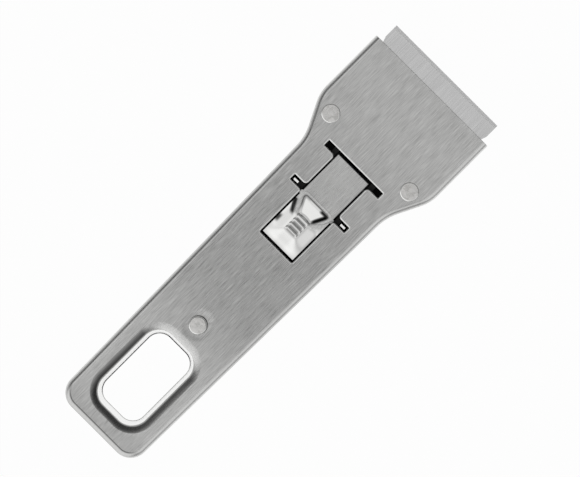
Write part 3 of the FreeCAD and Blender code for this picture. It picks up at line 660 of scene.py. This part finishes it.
# %% A cover from its patches
def cover_patches(has_mouth, eye_profile, punched):
    """Patches of one cover, in depth from its outside face: plates outside and inside, rims, collar, hole walls."""
    plan, plan_normals = plan_path(has_mouth)
    eye, eye_normals = eye_path()
    outside, inside = eye_profile(0.0), eye_profile(SHEET)
    eye_polish = np.maximum(worn(-outside[:, 2], EYE_POLISH_START, EYE_POLISH), -outside[:, 2] > EYE_WALL)
    foot = outside[-1, :2] + (-FOOT_EDGE, FOOT_EDGE * 0.75)
    lip = lip_profile(*(OPENING_LIP if has_mouth else (LIP, LIP)))
    bore = lip_profile(RIVET_LIP, RIVET_LIP, COUNTERSINK - RIVET_BORE)
    holes = [(*path, lip, 0.0, LIP_POLISH) for path in punched]
    for place in HEAD_RIVETS + [HANDLE_RIVET]:
        sunk = DIMPLE_DEPTH if has_mouth and place == HANDLE_RIVET else 0.0
        holes.append((*circle_path(place, COUNTERSINK), bore, sunk, 0.0))
    outer_plan = plan.copy()
    if has_mouth:
        outer_plan[[0, -1], 0] -= LIP
    rim_out, rim_in = rim_profile(0.0), rim_profile(SHEET)
    over = [outer_plan + rim_out[0, 0] * plan_normals, eye + outside[0, 0] * eye_normals]
    over += [path + rows[0, 0] * normals for path, normals, rows, *_ in holes]
    under = [plan + rim_in[0, 0] * plan_normals, eye + inside[0, 0] * eye_normals]
    under += [path + rows[-1, 0] * normals for path, normals, rows, *_ in holes]
    rim_polish = worn(rim_out[:, 2], 0.0, RIM_POLISH)
    made = [
        plate(over, 0.0, 1.0, dimple_spots() if has_mouth else None, dimple if has_mouth else None),
        plate(under, SHEET, -1.0, finish=1),
        tail_line(swept(outer_plan, plan_normals, rim_out, not has_mouth, polish=rim_polish)),
        swept(plan, plan_normals, rim_in, not has_mouth, 1),
        seam_strip(outer_plan, plan - SHEET * plan_normals, not has_mouth),
        shade_in_bend(swept(eye, eye_normals, outside, polish=eye_polish)),
        swept(eye, eye_normals, inside, finish=1),
        foot_edge(swept(eye, eye_normals, [[*outside[-1, :2], -0.6, 0.8], [*foot, -0.6, 0.8]])),
        swept(eye, eye_normals, [[*foot, 0, -1], [*inside[-1, :2], 0, -1]]),
    ]
    for path, normals, rows, sunk, share in holes:
        lowered = rows.copy()
        lowered[:-1, 1] += sunk
        burnish = share * np.clip(-rows[:, 2] / 0.08, 0, 1) * (rows[:, 3] > 0.1)
        made.append(swept(path, normals, lowered, polish=burnish))
    if has_mouth:
        made += mouth_edge(plan, plan_normals)
    return made


def seam_strip(outer, inner, closed):
    """Flat edge of the sheet at the seam, between two lines at the seam's depth."""
    return grid_patch(raised(np.stack([outer, inner], axis=1), SEAM_DEPTH), (0.0, 0.0, -1.0), closed)


def mouth_edge(plan, plan_normals):
    """Cut edge of the sheet at the open front. A lip of radius r rounds it outside: its points lie r (1 - sin t)
    behind the front and r (1 - cos t) under the outside face. Then the cut goes inwards, and a small fan closes
    the lip's end at the seam."""
    outside, inside = [across_mouth(plan, plan_normals, rim_profile(depth)) for depth in (0.0, SHEET)]
    points, normals = outside
    normals = normals * (0, 1, -1)
    turn = np.radians(np.linspace(0, 90, LIP_STEPS))[:, None, None]
    lip = points - LIP * (1 - np.cos(turn)) * normals - LIP * (1 - np.sin(turn)) * np.array([1.0, 0, 0])
    lip_normals = (np.cos(turn) * normals + np.sin(turn) * np.array([1.0, 0, 0])) * (1, 1, -1)
    made = [grid_patch(lip, lip_normals), grid_patch(np.stack([lip[-1], inside[0]]), (1.0, 0.0, 0.0))]
    step = np.arange(1, LIP_STEPS)
    fan = np.column_stack([0 * step, step, step + 1])
    for end in (0, -1):
        corner = np.concatenate([inside[0][end][None], lip[:, end]])
        made.append(patch(corner, (0.0, 0.0, -1.0), fan))
    return made


def across_mouth(plan, plan_normals, rows):
    """The rim's profile at the left front corner, then at the right one: one line across the mouth."""
    halves = [(plan[0], plan_normals[0], rows[::-1]), (plan[-1], plan_normals[-1], rows)]
    points = [raised(corner + r[:, :1] * normal, r[:, 1]) for corner, normal, r in halves]
    normals = [raised(r[:, 2:3] * normal, r[:, 3]) for _, normal, r in halves]
    return np.concatenate(points), np.concatenate(normals)


def stand_up(patches, outside_height, upward):
    """Turns depth into height: z = outside height - upward times depth; a normal's outward part follows."""
    return [{**p, **patch(p["points"] * (1, 1, -upward) + (0, 0, outside_height),
                          p["normals"] * (1, 1, upward), p["faces"], p["finish"])} for p in patches]


# %% Top cover
top_patches = cover_patches(True, collar_profile, [rounded_path(OPENING, 8)])
weld("top_cover_shell", stand_up(top_patches, BODY_HEIGHT, 1), "housing", ["top_cover"],
     [cover_steel, shaded_inside_steel])


# %% [markdown]
# ## The bottom cover
# It closes the back. Two tabs are cut free from it and bent up through the feet of the latch opening, where
# their bright tips show in the photograph.

# %% Bottom cover and its tabs
TAB_SIDES, TAB_FRONT, TAB_BACK, TAB_TOP, TAB_SLANT = (8.38, 10.08), 19.75, 19.15, 6.3, 0.3
LANCE_FRONT, LANCE_END, LANCE_CORNER = 18.4, 13.55, 0.15
TAB_ROOT_CORNER, TAB_TIP_CORNER, TIP_NORMAL = 0.05, 0.35, (-0.447, 0.0, 0.894)


def lance_path(side):
    inner, outer = [side * y for y in TAB_SIDES]
    corners = [(LANCE_FRONT, inner), (LANCE_FRONT, outer), (LANCE_END, outer), (LANCE_END, inner)]
    return rounded_path([(*corner, LANCE_CORNER) for corner in corners[::side]], 6)


def tab_patches(side):
    """Upright tab: its outline in the cross plane with rounded tip corners, as two plates and the edge between.
    The tip is sheared off at a slant, lower at the back."""
    inner, outer = TAB_SIDES
    root, tip = (SHEET / 2, TAB_ROOT_CORNER), (TAB_TOP, TAB_TIP_CORNER)
    outline = rounded_path([(outer, *root), (outer, *tip), (inner, *tip), (inner, *root)], 8)
    made = laid_over(slab([outline], TAB_FRONT, TAB_BACK), [2, 0, 1], side)
    for p in made:
        back = (TAB_FRONT - p["points"][:, 0]) / (TAB_FRONT - TAB_BACK)
        p["points"][:, 2] -= TAB_SLANT * back * (p["points"][:, 2] > 5.0)
        p["normals"][p["normals"][:, 2] > 0.3] = TIP_NORMAL
        p["polish"] = np.ones(len(p["points"]))
    return made


bottom_patches = stand_up(cover_patches(False, nest_profile, [lance_path(1), lance_path(-1)]), 0.0, -1)
weld("bottom_cover_shell", bottom_patches + tab_patches(1) + tab_patches(-1), "housing",
     ["bottom_cover"], [cover_steel, shaded_inside_steel])

# %% [markdown]
# ## The rivets
# Three rivets clamp the covers. Their heads are turned, not brushed, and hammered flush, so each is a
# profile spun about its own axis with a barely crowned face and a rounded edge.

# %% Rivets
RIVET_EDGE, RIVET_SHANK, RIVET_SINK, RIVET_PROUD, CROWN = 0.56, 2.0, 0.7, 0.08, 0.03
EDGE_TURN, EDGE_DEPTH = (9, 50), 0.2   # degrees over which a head's edge is round, and its depth
RIVETS = (("head_rivet_left", HEAD_RIVETS[0], 2.79, 0.0), ("head_rivet_right", HEAD_RIVETS[1], 2.79, 0.0),
          ("handle_rivet", (HANDLE_RIVET[0] - 0.18, HANDLE_RIVET[1]), 2.61, DIMPLE_DEPTH))


def head_profile(radius, top):
    """Profile (r, z) of a head from its middle out: crown c (1 - (r / R)^2), a rounded edge, then the cone."""
    flat = radius - RIVET_EDGE * math.sin(math.radians(EDGE_TURN[1]))
    r = np.linspace(0, flat, 8)
    crown = np.column_stack([r, top + CROWN * (1 - (r / flat) ** 2)])
    turn = np.radians(np.linspace(*EDGE_TURN, 8))
    out = radius - RIVET_EDGE * (math.sin(turn[-1]) - np.sin(turn))
    edge = np.column_stack([out, top - RIVET_EDGE * (1 - np.cos(turn))])
    return np.concatenate([crown, edge, [[radius, top - EDGE_DEPTH], [RIVET_SHANK, BODY_HEIGHT - RIVET_SINK]]])


def rivet_patches(place, radius, sunk):
    """A head's profile and a flush one below it, spun about a vertical axis. The rounded edge is burnished."""
    upper = head_profile(radius, BODY_HEIGHT + RIVET_PROUD - sunk)
    lower = head_profile(radius, BODY_HEIGHT - CROWN)[::-1] * (1, -1) + (0, BODY_HEIGHT)
    profile = np.concatenate([upper, lower])
    run = np.gradient(profile, axis=0)
    normals = np.stack([-run[:, 1], run[:, 0]], axis=1)
    normals /= np.maximum(np.linalg.norm(normals, axis=1), 1e-9)[:, None]
    edge = (normals[:, 0] > 0.2) & (normals[:, 1] > 0.5)
    ring = unit_ring(RING_STEPS)
    rows = np.column_stack([profile, normals])
    return [swept(np.broadcast_to(place, ring.shape), ring, rows, polish=edge.astype(float))]


# The handle's rivet was swollen a little to the back of its hole, which leaves a gap at the front.
for label, place, radius, sunk in RIVETS:
    weld(label + "_turned", rivet_patches(place, radius, sunk), "housing", [label], [rivet_steel])

# %% [markdown]
# ## The thumb latch
# One strip of sheet makes the flat tongue and the polished button. The button is pressed: a dish falls from
# the crease to a ribbed crest, the flanks slope away to the sides, and the back slopes down to the rear lip.
# As it never folds over itself, its top is a height over (x, y). The height is put together from straight
# facets and then blurred a little, as a press rounds its bends.

# %% Sizes of the latch, in millimetres
LATCH_SIDE, TONGUE_FRONT, BUTTON_END, LATCH_STEP, EDGE_LEAN = 5.925, 33.00, 2.80, 0.08, 0.8
CREASE, DISH_FRONT, CREST_FRONT, CREST_BACK, CREST_HALF = 19.55, 18.75, 13.15, 7.05, 2.35
CORNER, DISH_CORNER, DISH_WALL, BEND, BACK_BEND = 2.0, 1.4, 0.45, 0.35, 0.9
LUG_FRONT, LUG_BACK, LUG_SIDE, LUG_ROUND = 18.95, 17.65, 6.40, 0.35
FIRST_RIB, RIB_PITCH, RIB_WIDTH, RIB_HEIGHT, RIB_COUNT = 12.95, 1.5, 1.1, 0.30, 4
# Lines along the button: places x, and what is there.
DISH_HALF = [CREST_FRONT, DISH_FRONT], [2.2, 5.05]
HIP = [12.9, 14.95, 16.3, 17.5], [2.9, 4.55, 5.4, 6.3]
HIP_FOLD = [13.0, 13.8, 15.0, 15.94, 17.3, 18.76], [1.9, 2.74, 4.05, 4.88, 5.55, 5.95]
RIM_DROP = [BUTTON_END, CREST_BACK, CREST_FRONT, 14.6, 16.4, DISH_FRONT], [2.08, 1.22, 1.05, 0.85, 0.48, 0.10]
FLOOR_DROP = [CREST_FRONT, DISH_FRONT - 0.3], [1.38, 0.46]
FLANK_DROP, FLANK_SLOPE = ([BUTTON_END, CREST_BACK, CREST_FRONT], [1.45, 1.22, 1.05]), 0.15


# %% Outlines on the button
# x comes as a column and y as a row, so a formula of both fills a grid.
def blur(values, step, radius):
    """Each row of values averaged with its neighbours by a bell curve of that radius."""
    places = np.arange(len(values)) * step
    weights = np.exp(-0.5 * ((places[:, None] - places[None]) / radius) ** 2)
    return weights @ values / weights.sum(1)[:, None]


def soft_step(value):
    """0 below 0 and 1 above 1, with soft ends: t^2 (3 - 2 t)."""
    t = np.clip(value, 0, 1)
    return t * t * (3 - 2 * t)


def behind_crease(x, y):
    """Distance behind the crease, which runs straight across and turns back round each corner:
    x = crease - (r - sqrt(r^2 - c^2)), where c is how far y is into the corner."""
    into = np.clip(np.abs(y) - (LATCH_SIDE + 0.05 - CORNER), 0, CORNER)
    return CREASE - (CORNER - np.sqrt(CORNER**2 - into**2)) - x


def inside_dish(x, y):
    """How deep a spot is inside the dish's outline, in millimetres: a trapezium with rounded front corners."""
    along = x - DISH_FRONT + DISH_CORNER
    across = np.abs(y) - np.interp(x, *DISH_HALF) + DISH_CORNER
    beyond = np.hypot(np.maximum(along, 0), np.maximum(across, 0)) + np.minimum(np.maximum(along, across), 0)
    return DISH_CORNER - beyond


def crest_line(y):
    """The crest's front edge bulges into the dish: x = front + 0.45 - 0.1 y^2."""
    return CREST_FRONT + 0.45 - 0.1 * np.minimum(np.abs(y), 2.6) ** 2


def flank_share(x, y):
    """0 on the rim beside the dish, 1 outside the hip, which runs from the lug in to the crest; 1 behind it. In
    front the right flank is pressed less deep than the left one."""
    shallow = 0.6 * soft_step((x - 12.3) / 2.2) * (y < 0)
    outside = soft_step((np.abs(y) - np.interp(x, *HIP)) / 1.4) * (1 - shallow)
    return np.maximum(outside, soft_step((13.3 - x) / 0.9))


# %% Height of the button
def button_drop(x, y):
    """Drop below the cover. Along the middle: rim, dish floor, crest and back. Each flank is a plane that falls
    to the side from the crest; the surface is the lower of the two, as on a hipped roof."""
    rim = np.interp(x, *RIM_DROP) * np.clip(behind_crease(x, y) / 0.75, 0, 1)
    dish = np.clip(inside_dish(x, y) / DISH_WALL, 0, 1) * soft_step((x - crest_line(y)) / 0.4)
    drop = rim + np.maximum(np.interp(x, *FLOOR_DROP) - rim, 0) * dish
    flank = np.interp(x, *FLANK_DROP) + FLANK_SLOPE * (np.abs(y) - CREST_HALF)
    return drop + np.maximum(flank - drop, 0) * flank_share(x, y)


def rib_rise(x, y):
    """Ribs across the crest: a raised cosine along x at each pitch, fading at the crest's sides."""
    nearest = np.clip(np.round((FIRST_RIB - x) / RIB_PITCH), 0, RIB_COUNT - 1)
    away = np.abs(x - (FIRST_RIB - nearest * RIB_PITCH)) / (RIB_WIDTH / 2)
    along = np.where(away < 1, (1 + np.cos(np.pi * np.clip(away, 0, 1))) / 2, 0)
    return RIB_HEIGHT * along * soft_step((CREST_HALF - 0.1 - np.abs(y)) / 0.5)


def lug_reach(x):
    """How far the side of the sheet stands out at the lug: a step with rounded ends."""
    t = np.clip(np.minimum(LUG_FRONT - x, x - LUG_BACK) / LUG_ROUND, 0, 1)
    return (LUG_SIDE - LATCH_SIDE) * np.sqrt(1 - (1 - t) ** 2)


# %% [markdown]
# Only the pressed faces of the button are buffed: its dish, crest, flanks and back. The rim keeps the brushed
# grain. Shade is painted black into the folds, most of it in the deep fold on the right, into the valleys between
# the ribs and thinly over the dish; a stripe and a spot on the left flank are painted dark reflections.

# %% Where the latch is buffed and where shade is painted
THIN, FAINT, WIDE = (0.85, 0.14, 0.25), (0.55, 0.30, 0.45), (1.0, 0.45, 0.75)   # strength, middle, width
CREST_EDGE, CREASE_LINE, HIP_LINE, STRIPE = (0.6, 0.12, 0.13), (0.30, 0.0, 0.12), (0.5, 0.0, 0.16), (0.92, 0.0, 0.66)
SPOT_ALONG, SPOT_ACROSS, DISH_SHADE_LEVEL, VALLEY, LEAST_POLISH = (0.93, 8.7, 1.3), (1.0, 5.75, 0.8), 0.10, 0.58, 0.12


def buffed(x, y):
    """1 inside the dish and outside the hip, a little on the rim and the tongue."""
    dish = np.clip(inside_dish(x, y) / 0.2, 0, 1)
    behind = np.clip(behind_crease(x, y) / 0.25 - 1, 0, 1)
    return np.maximum(np.maximum(dish, flank_share(x, y)) * behind, LEAST_POLISH)


def fold(value, shape, power=2):
    strength, middle, width = shape
    return strength * bell(value - middle, width, power)


def folds(x, y):
    """Painted shade: a thin even film over the dish, and bell curves over the depth inside the dish: thin along the
    front and the left side, wide on the right; weaker ones along the crest's front edge, the crease and the right
    hip; shade in the valleys between the ribs; a stripe and a spot of painted dark reflection on the left flank."""
    depth, front = inside_dish(x, y), soft_step((x - CREST_FRONT - 0.8) / 2.5)
    right = soft_step((-y - 1.2) / 1.2) * soft_step((DISH_FRONT + 0.1 - x) / 0.5)
    dish_shade = DISH_SHADE_LEVEL * np.clip(depth, 0, 1)
    thin = fold(depth, THIN) * front
    faint = fold(depth, FAINT) * front * soft_step((y - 1.6) / 1.2)
    wide = right * soft_step((x - CREST_FRONT + 0.1) / 1.6) * fold(depth, WIDE, 4)
    crest = fold(x - crest_line(y), CREST_EDGE) * soft_step((2.6 - np.abs(y)) / 0.4)
    crease = fold(behind_crease(x, y), CREASE_LINE)
    line = fold(-y - np.interp(x, *HIP_FOLD), HIP_LINE) * soft_step((x - 13.4) / 1.2)
    across = 0.9 * (y - 3.8 - 0.49 * (x - 11.9))
    stripe = fold(across, STRIPE, 4) * (soft_step((x - 11.3) / 1.4) * soft_step((16.4 - x) / 0.5))
    spot = fold(x, SPOT_ALONG, 4) * fold(y, SPOT_ACROSS, 4)
    valley = VALLEY * (1 - rib_rise(x, y) / RIB_HEIGHT) * soft_step((1.9 - np.abs(y)) / 0.6)
    valley = valley * (soft_step((x - CREST_BACK - 0.5) / 0.4) * soft_step((CREST_FRONT - 0.5 - x) / 0.4))
    return np.maximum.reduce([dish_shade, thin, faint, wide, crest, crease, line, stripe, spot, valley])


# %% Latch sheet
def latch_patches():
    """Top: the height field and flat tongue. Below: the same surface a sheet lower. Four walls close the edges."""
    x = np.linspace(BUTTON_END, CREASE + 1.0, round((CREASE + 1.0 - BUTTON_END) / LATCH_STEP) + 1)
    y = np.linspace(-LATCH_SIDE, LATCH_SIDE, round(2 * LATCH_SIDE / LATCH_STEP) + 1)
    column = x[:, None]
    facets = button_drop(column, y)
    crisp, rounded = [blur(blur(facets, x[1] - x[0], bend).T, y[1] - y[0], bend).T for bend in (BEND, BACK_BEND)]
    drop = crisp + (rounded - crisp) * soft_step((CREST_BACK + 1.2 - column) / 2.4) - rib_rise(column, y)
    x = np.concatenate([x, [TONGUE_FRONT - LIP, TONGUE_FRONT]])
    column = x[:, None]
    drop = np.concatenate([drop, np.zeros((2, len(y)))])
    slope_x, slope_y = np.gradient(-drop, x, y)
    drop[[0, -1]] += LIP / 2
    drop[:, [0, -1]] += LIP / 2
    normals = np.stack([-slope_x, -slope_y, np.ones_like(drop)], axis=-1)
    for end, way in ((0, -EDGE_LEAN), (-1, EDGE_LEAN)):
        normals[:, end, 1] += way
        normals[end, :, 0] += way
    normals /= np.linalg.norm(normals, axis=-1)[..., None]
    plan = np.stack(np.meshgrid(x, y, indexing="ij"), axis=-1)
    outer = np.clip((np.abs(y) - (LATCH_SIDE - 0.3)) / 0.3, 0, 1) * np.sign(y)
    plan[..., 1] += lug_reach(column) * outer
    top, under = raised(plan, BODY_HEIGHT - drop), raised(plan, BODY_HEIGHT - drop - SHEET)
    walls = [(top[:, 0], under[:, 0], (0, -1, 0)), (top[:, -1], under[:, -1], (0, 1, 0)),
             (top[0], under[0], (-1, 0, 0)), (top[-1], under[-1], (1, 0, 0))]
    made = [grid_patch(top, normals), grid_patch(under, -normals)]
    # The second mark is the button's painted shade.
    made[0]["polish"], made[0]["painted_shade"] = buffed(column, y).reshape(-1), folds(column, y).reshape(-1)
    return made + [grid_patch(np.stack([upper, lower]), facing) for upper, lower, facing in walls]


PIN_X, PIN_Z, PIN_BORE, EAR_TOP, EAR_REACH, EAR_CORNERS = 30.80, 3.4, 0.85, 5.6, 1.7, (0.05, 1.2)


def ear_patches(side):
    """Ear at a side of the tongue: an outline in the long plane with the pin's bore, a sheet thick."""
    back, front = PIN_X - EAR_REACH, PIN_X + EAR_REACH
    root, tip = (EAR_TOP, EAR_CORNERS[0]), (PIN_Z - EAR_REACH, EAR_CORNERS[1])
    outline = rounded_path([(back, *root), (back, *tip), (front, *tip), (front, *root)], 10)
    bore = circle_path((PIN_X, PIN_Z), PIN_BORE, 40)
    return laid_over(slab([outline, bore], LATCH_SIDE, LATCH_SIDE - SHEET), [0, 2, 1], side)


weld("thumb_latch_pressing", latch_patches() + ear_patches(1) + ear_patches(-1), "thumb_latch",
     ["thumb_latch"], [latch_steel])

# %% [markdown]
# ## The leaf spring
# The leaf is the one piece that bends. Its foot is riveted to the carrier and its arm presses on the latch
# from below. Here the foot and the arm are two rigid pieces that meet at the bend, and the arm has a mesh of its
# own.

# %% Leaf spring
LEAF_HALF, LEAF_SHEET = 2.3, 0.3
LEAF_FOOT = [(40.85, 4.2), (36.35, 4.2), (33.35, 2.0)]
LEAF_ARM = [(33.35, 2.0), (10.10, 4.4)]


def strip_patches(line):
    """Flat strip: a line in the long plane carried from side to side, its underside a leaf's thickness lower."""
    upper = np.asarray(line)
    lower = upper - (0, LEAF_SHEET)
    ring = np.concatenate([upper, lower[::-1]])
    after = np.roll(ring, -1, axis=0)
    made = []
    for start, end, (x, z) in zip(ring, after, right_normals(after - ring)):
        span = np.array([[[start[0], y, start[1]], [end[0], y, end[1]]] for y in (-LEAF_HALF, LEAF_HALF)])
        made.append(grid_patch(span, (x, 0.0, z)))
    for s in (-1.0, 1.0):
        side = np.stack([np.insert(edge, 1, s * LEAF_HALF, axis=1) for edge in (upper, lower)])
        made.append(grid_patch(side, (0.0, s, 0.0)))
    return made


_, leaf_arm = [
    weld(label, strip_patches(line), "slider", ["latch_spring"], [spring_steel])
    for label, line in (("leaf_spring_foot", LEAF_FOOT), ("leaf_spring_arm", LEAF_ARM))]
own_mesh(leaf_arm)

# %% [markdown]
# ## Pieces whose CAD shape is right
# The blade, its carrier, the pin, the spacers and the small rivet are flat or turned pieces that the CAD
# already has exactly. They keep their meshes and only get a finish.

# %% Finishes of the CAD pieces
def finish_node(name, material):
    data = nodes[name].data
    if data.materials:
        nodes[name].material_slots[0].material = material
    else:
        data.materials.append(material)


# The carrier takes the near-black steel that paints the shade inside the housing.
CAD_FINISHES = {"blade": blade_steel, "blade_carrier": shaded_inside_steel}
for name in ("latch_pin", "spring_rivet", "head_spacer_left", "head_spacer_right", "handle_spacer"):
    CAD_FINISHES[name] = pin_steel
for name, material in CAD_FINISHES.items():
    finish_node(name, material)
print("CAD pieces with a new finish:", len(CAD_FINISHES))

# %% [markdown]
# ## Floor and light
# The photograph has a plain white ground and hardly a shadow. The floor is white to the camera and in
# reflections, and keeps a faint shadow. Bare metal shows its surroundings, so the sky is built like a
# studio: grey overhead, a large bright wall behind the handle, a soft panel to the right, small ones to the left
# and in front, grey walls all round, and a white band low down where the ground runs out.

# %% Floor
FLOOR_REACH, FLOOR_HEIGHT = 2.5, -0.00005        # metres
WHITE_TO_CAMERA, WHITE_IN_MIRRORS = 0.97, 0.90   # the rest of the floor takes shadow
GROUND, GROUND_ROUGHNESS = (0.9, 0.9, 0.9), 0.9


def make_floor():
    """White sheet under the tool: mostly plain white to the camera and in mirrors, with a share of shadow."""
    mesh = bpy.data.meshes.new("floor")
    sides = ((-1, -1), (1, -1), (1, 1), (-1, 1))
    mesh.from_pydata([(x * FLOOR_REACH, y * FLOOR_REACH, FLOOR_HEIGHT) for x, y in sides], [], [(0, 1, 2, 3)])
    floor = put("floor", mesh)
    material = bpy.data.materials.new("white_ground")
    material.use_nodes = True
    tree, shader = nodes_of(material)
    feed(tree, shader, [("Base Color", (*GROUND, 1)), ("Roughness", GROUND_ROUGHNESS)])
    ray = add_node(tree, "ShaderNodeLightPath").outputs
    mirrored = math_node(tree, "ADD", ray["Is Glossy Ray"], ray["Is Transmission Ray"])
    seen = weighed(tree, mirrored, WHITE_IN_MIRRORS, ray["Is Camera Ray"], WHITE_TO_CAMERA)
    white = add_node(tree, "ShaderNodeEmission", [("Color", (*WHITE, 1)), ("Strength", 1.0)])
    mixed = add_node(tree, "ShaderNodeMixShader", [(0, seen), (1, shader.outputs[0]), (2, white.outputs[0])])
    feed(tree, tree.nodes["Material Output"], [("Surface", mixed.outputs[0])])
    mesh.materials.append(material)


make_floor()


# %% Studio sky
def panel_glow(tree, direction, aim, full, faded):
    """1 within `full` degrees of the aim, falling softly to 0 at `faded` degrees."""
    values = [(0, direction), (1, tuple(Vector(aim).normalized()))]
    cosine = add_node(tree, "ShaderNodeVectorMath", values, operation="DOT_PRODUCT").outputs["Value"]
    return between(tree, cosine, math.cos(math.radians(faded)), math.cos(math.radians(full)))


DARK_LEVEL = 0.08
WALLS = (0.45, 0.75, 0.40, 0.0)   # from which height to which the walls fade, from one brightness to another
HORIZON, LOW_WHITE = (0.0, 0.10), 0.9
PANELS = (  # aim, full and faded angle, brightness
    ((0.0, 0.0, 1.0), 8.0, 27.0, 0.54),
    ((-0.82, 0.0, 0.57), 30.0, 52.0, 0.78),
    ((0.0, -0.57, 0.82), 11.0, 24.0, 0.60),
    ((0.0, 0.31, 0.95), 4.0, 16.0, 0.40),
    ((0.34, 0.0, 0.94), 4.0, 11.0, 0.30),
)


def make_sky():
    """Brightness by direction: a dark level plus the panels, grey walls all round, and white near the horizon."""
    world = bpy.data.worlds.new("studio")
    world.use_nodes = True
    bpy.context.scene.world = world
    tree = world.node_tree
    direction = add_node(tree, "ShaderNodeTexCoord").outputs["Generated"]
    total = add_node(tree, "ShaderNodeValue").outputs[0]
    total.default_value = DARK_LEVEL
    for aim, full, faded, bright in PANELS:
        total = math_node(tree, "MULTIPLY_ADD", panel_glow(tree, direction, aim, full, faded), bright, total)
    height = add_node(tree, "ShaderNodeSeparateXYZ", [(0, direction)]).outputs["Z"]
    total = math_node(tree, "MAXIMUM", total, between(tree, height, *WALLS))
    level = blend(tree, between(tree, height, *HORIZON, 1.0, 0.0), total, LOW_WHITE)
    feed(tree, tree.nodes["Background"], [("Color", level), ("Strength", 1.0)])


make_sky()
bpy.context.scene.view_settings.view_transform = "Standard"
print("panels in the sky:", len(PANELS))
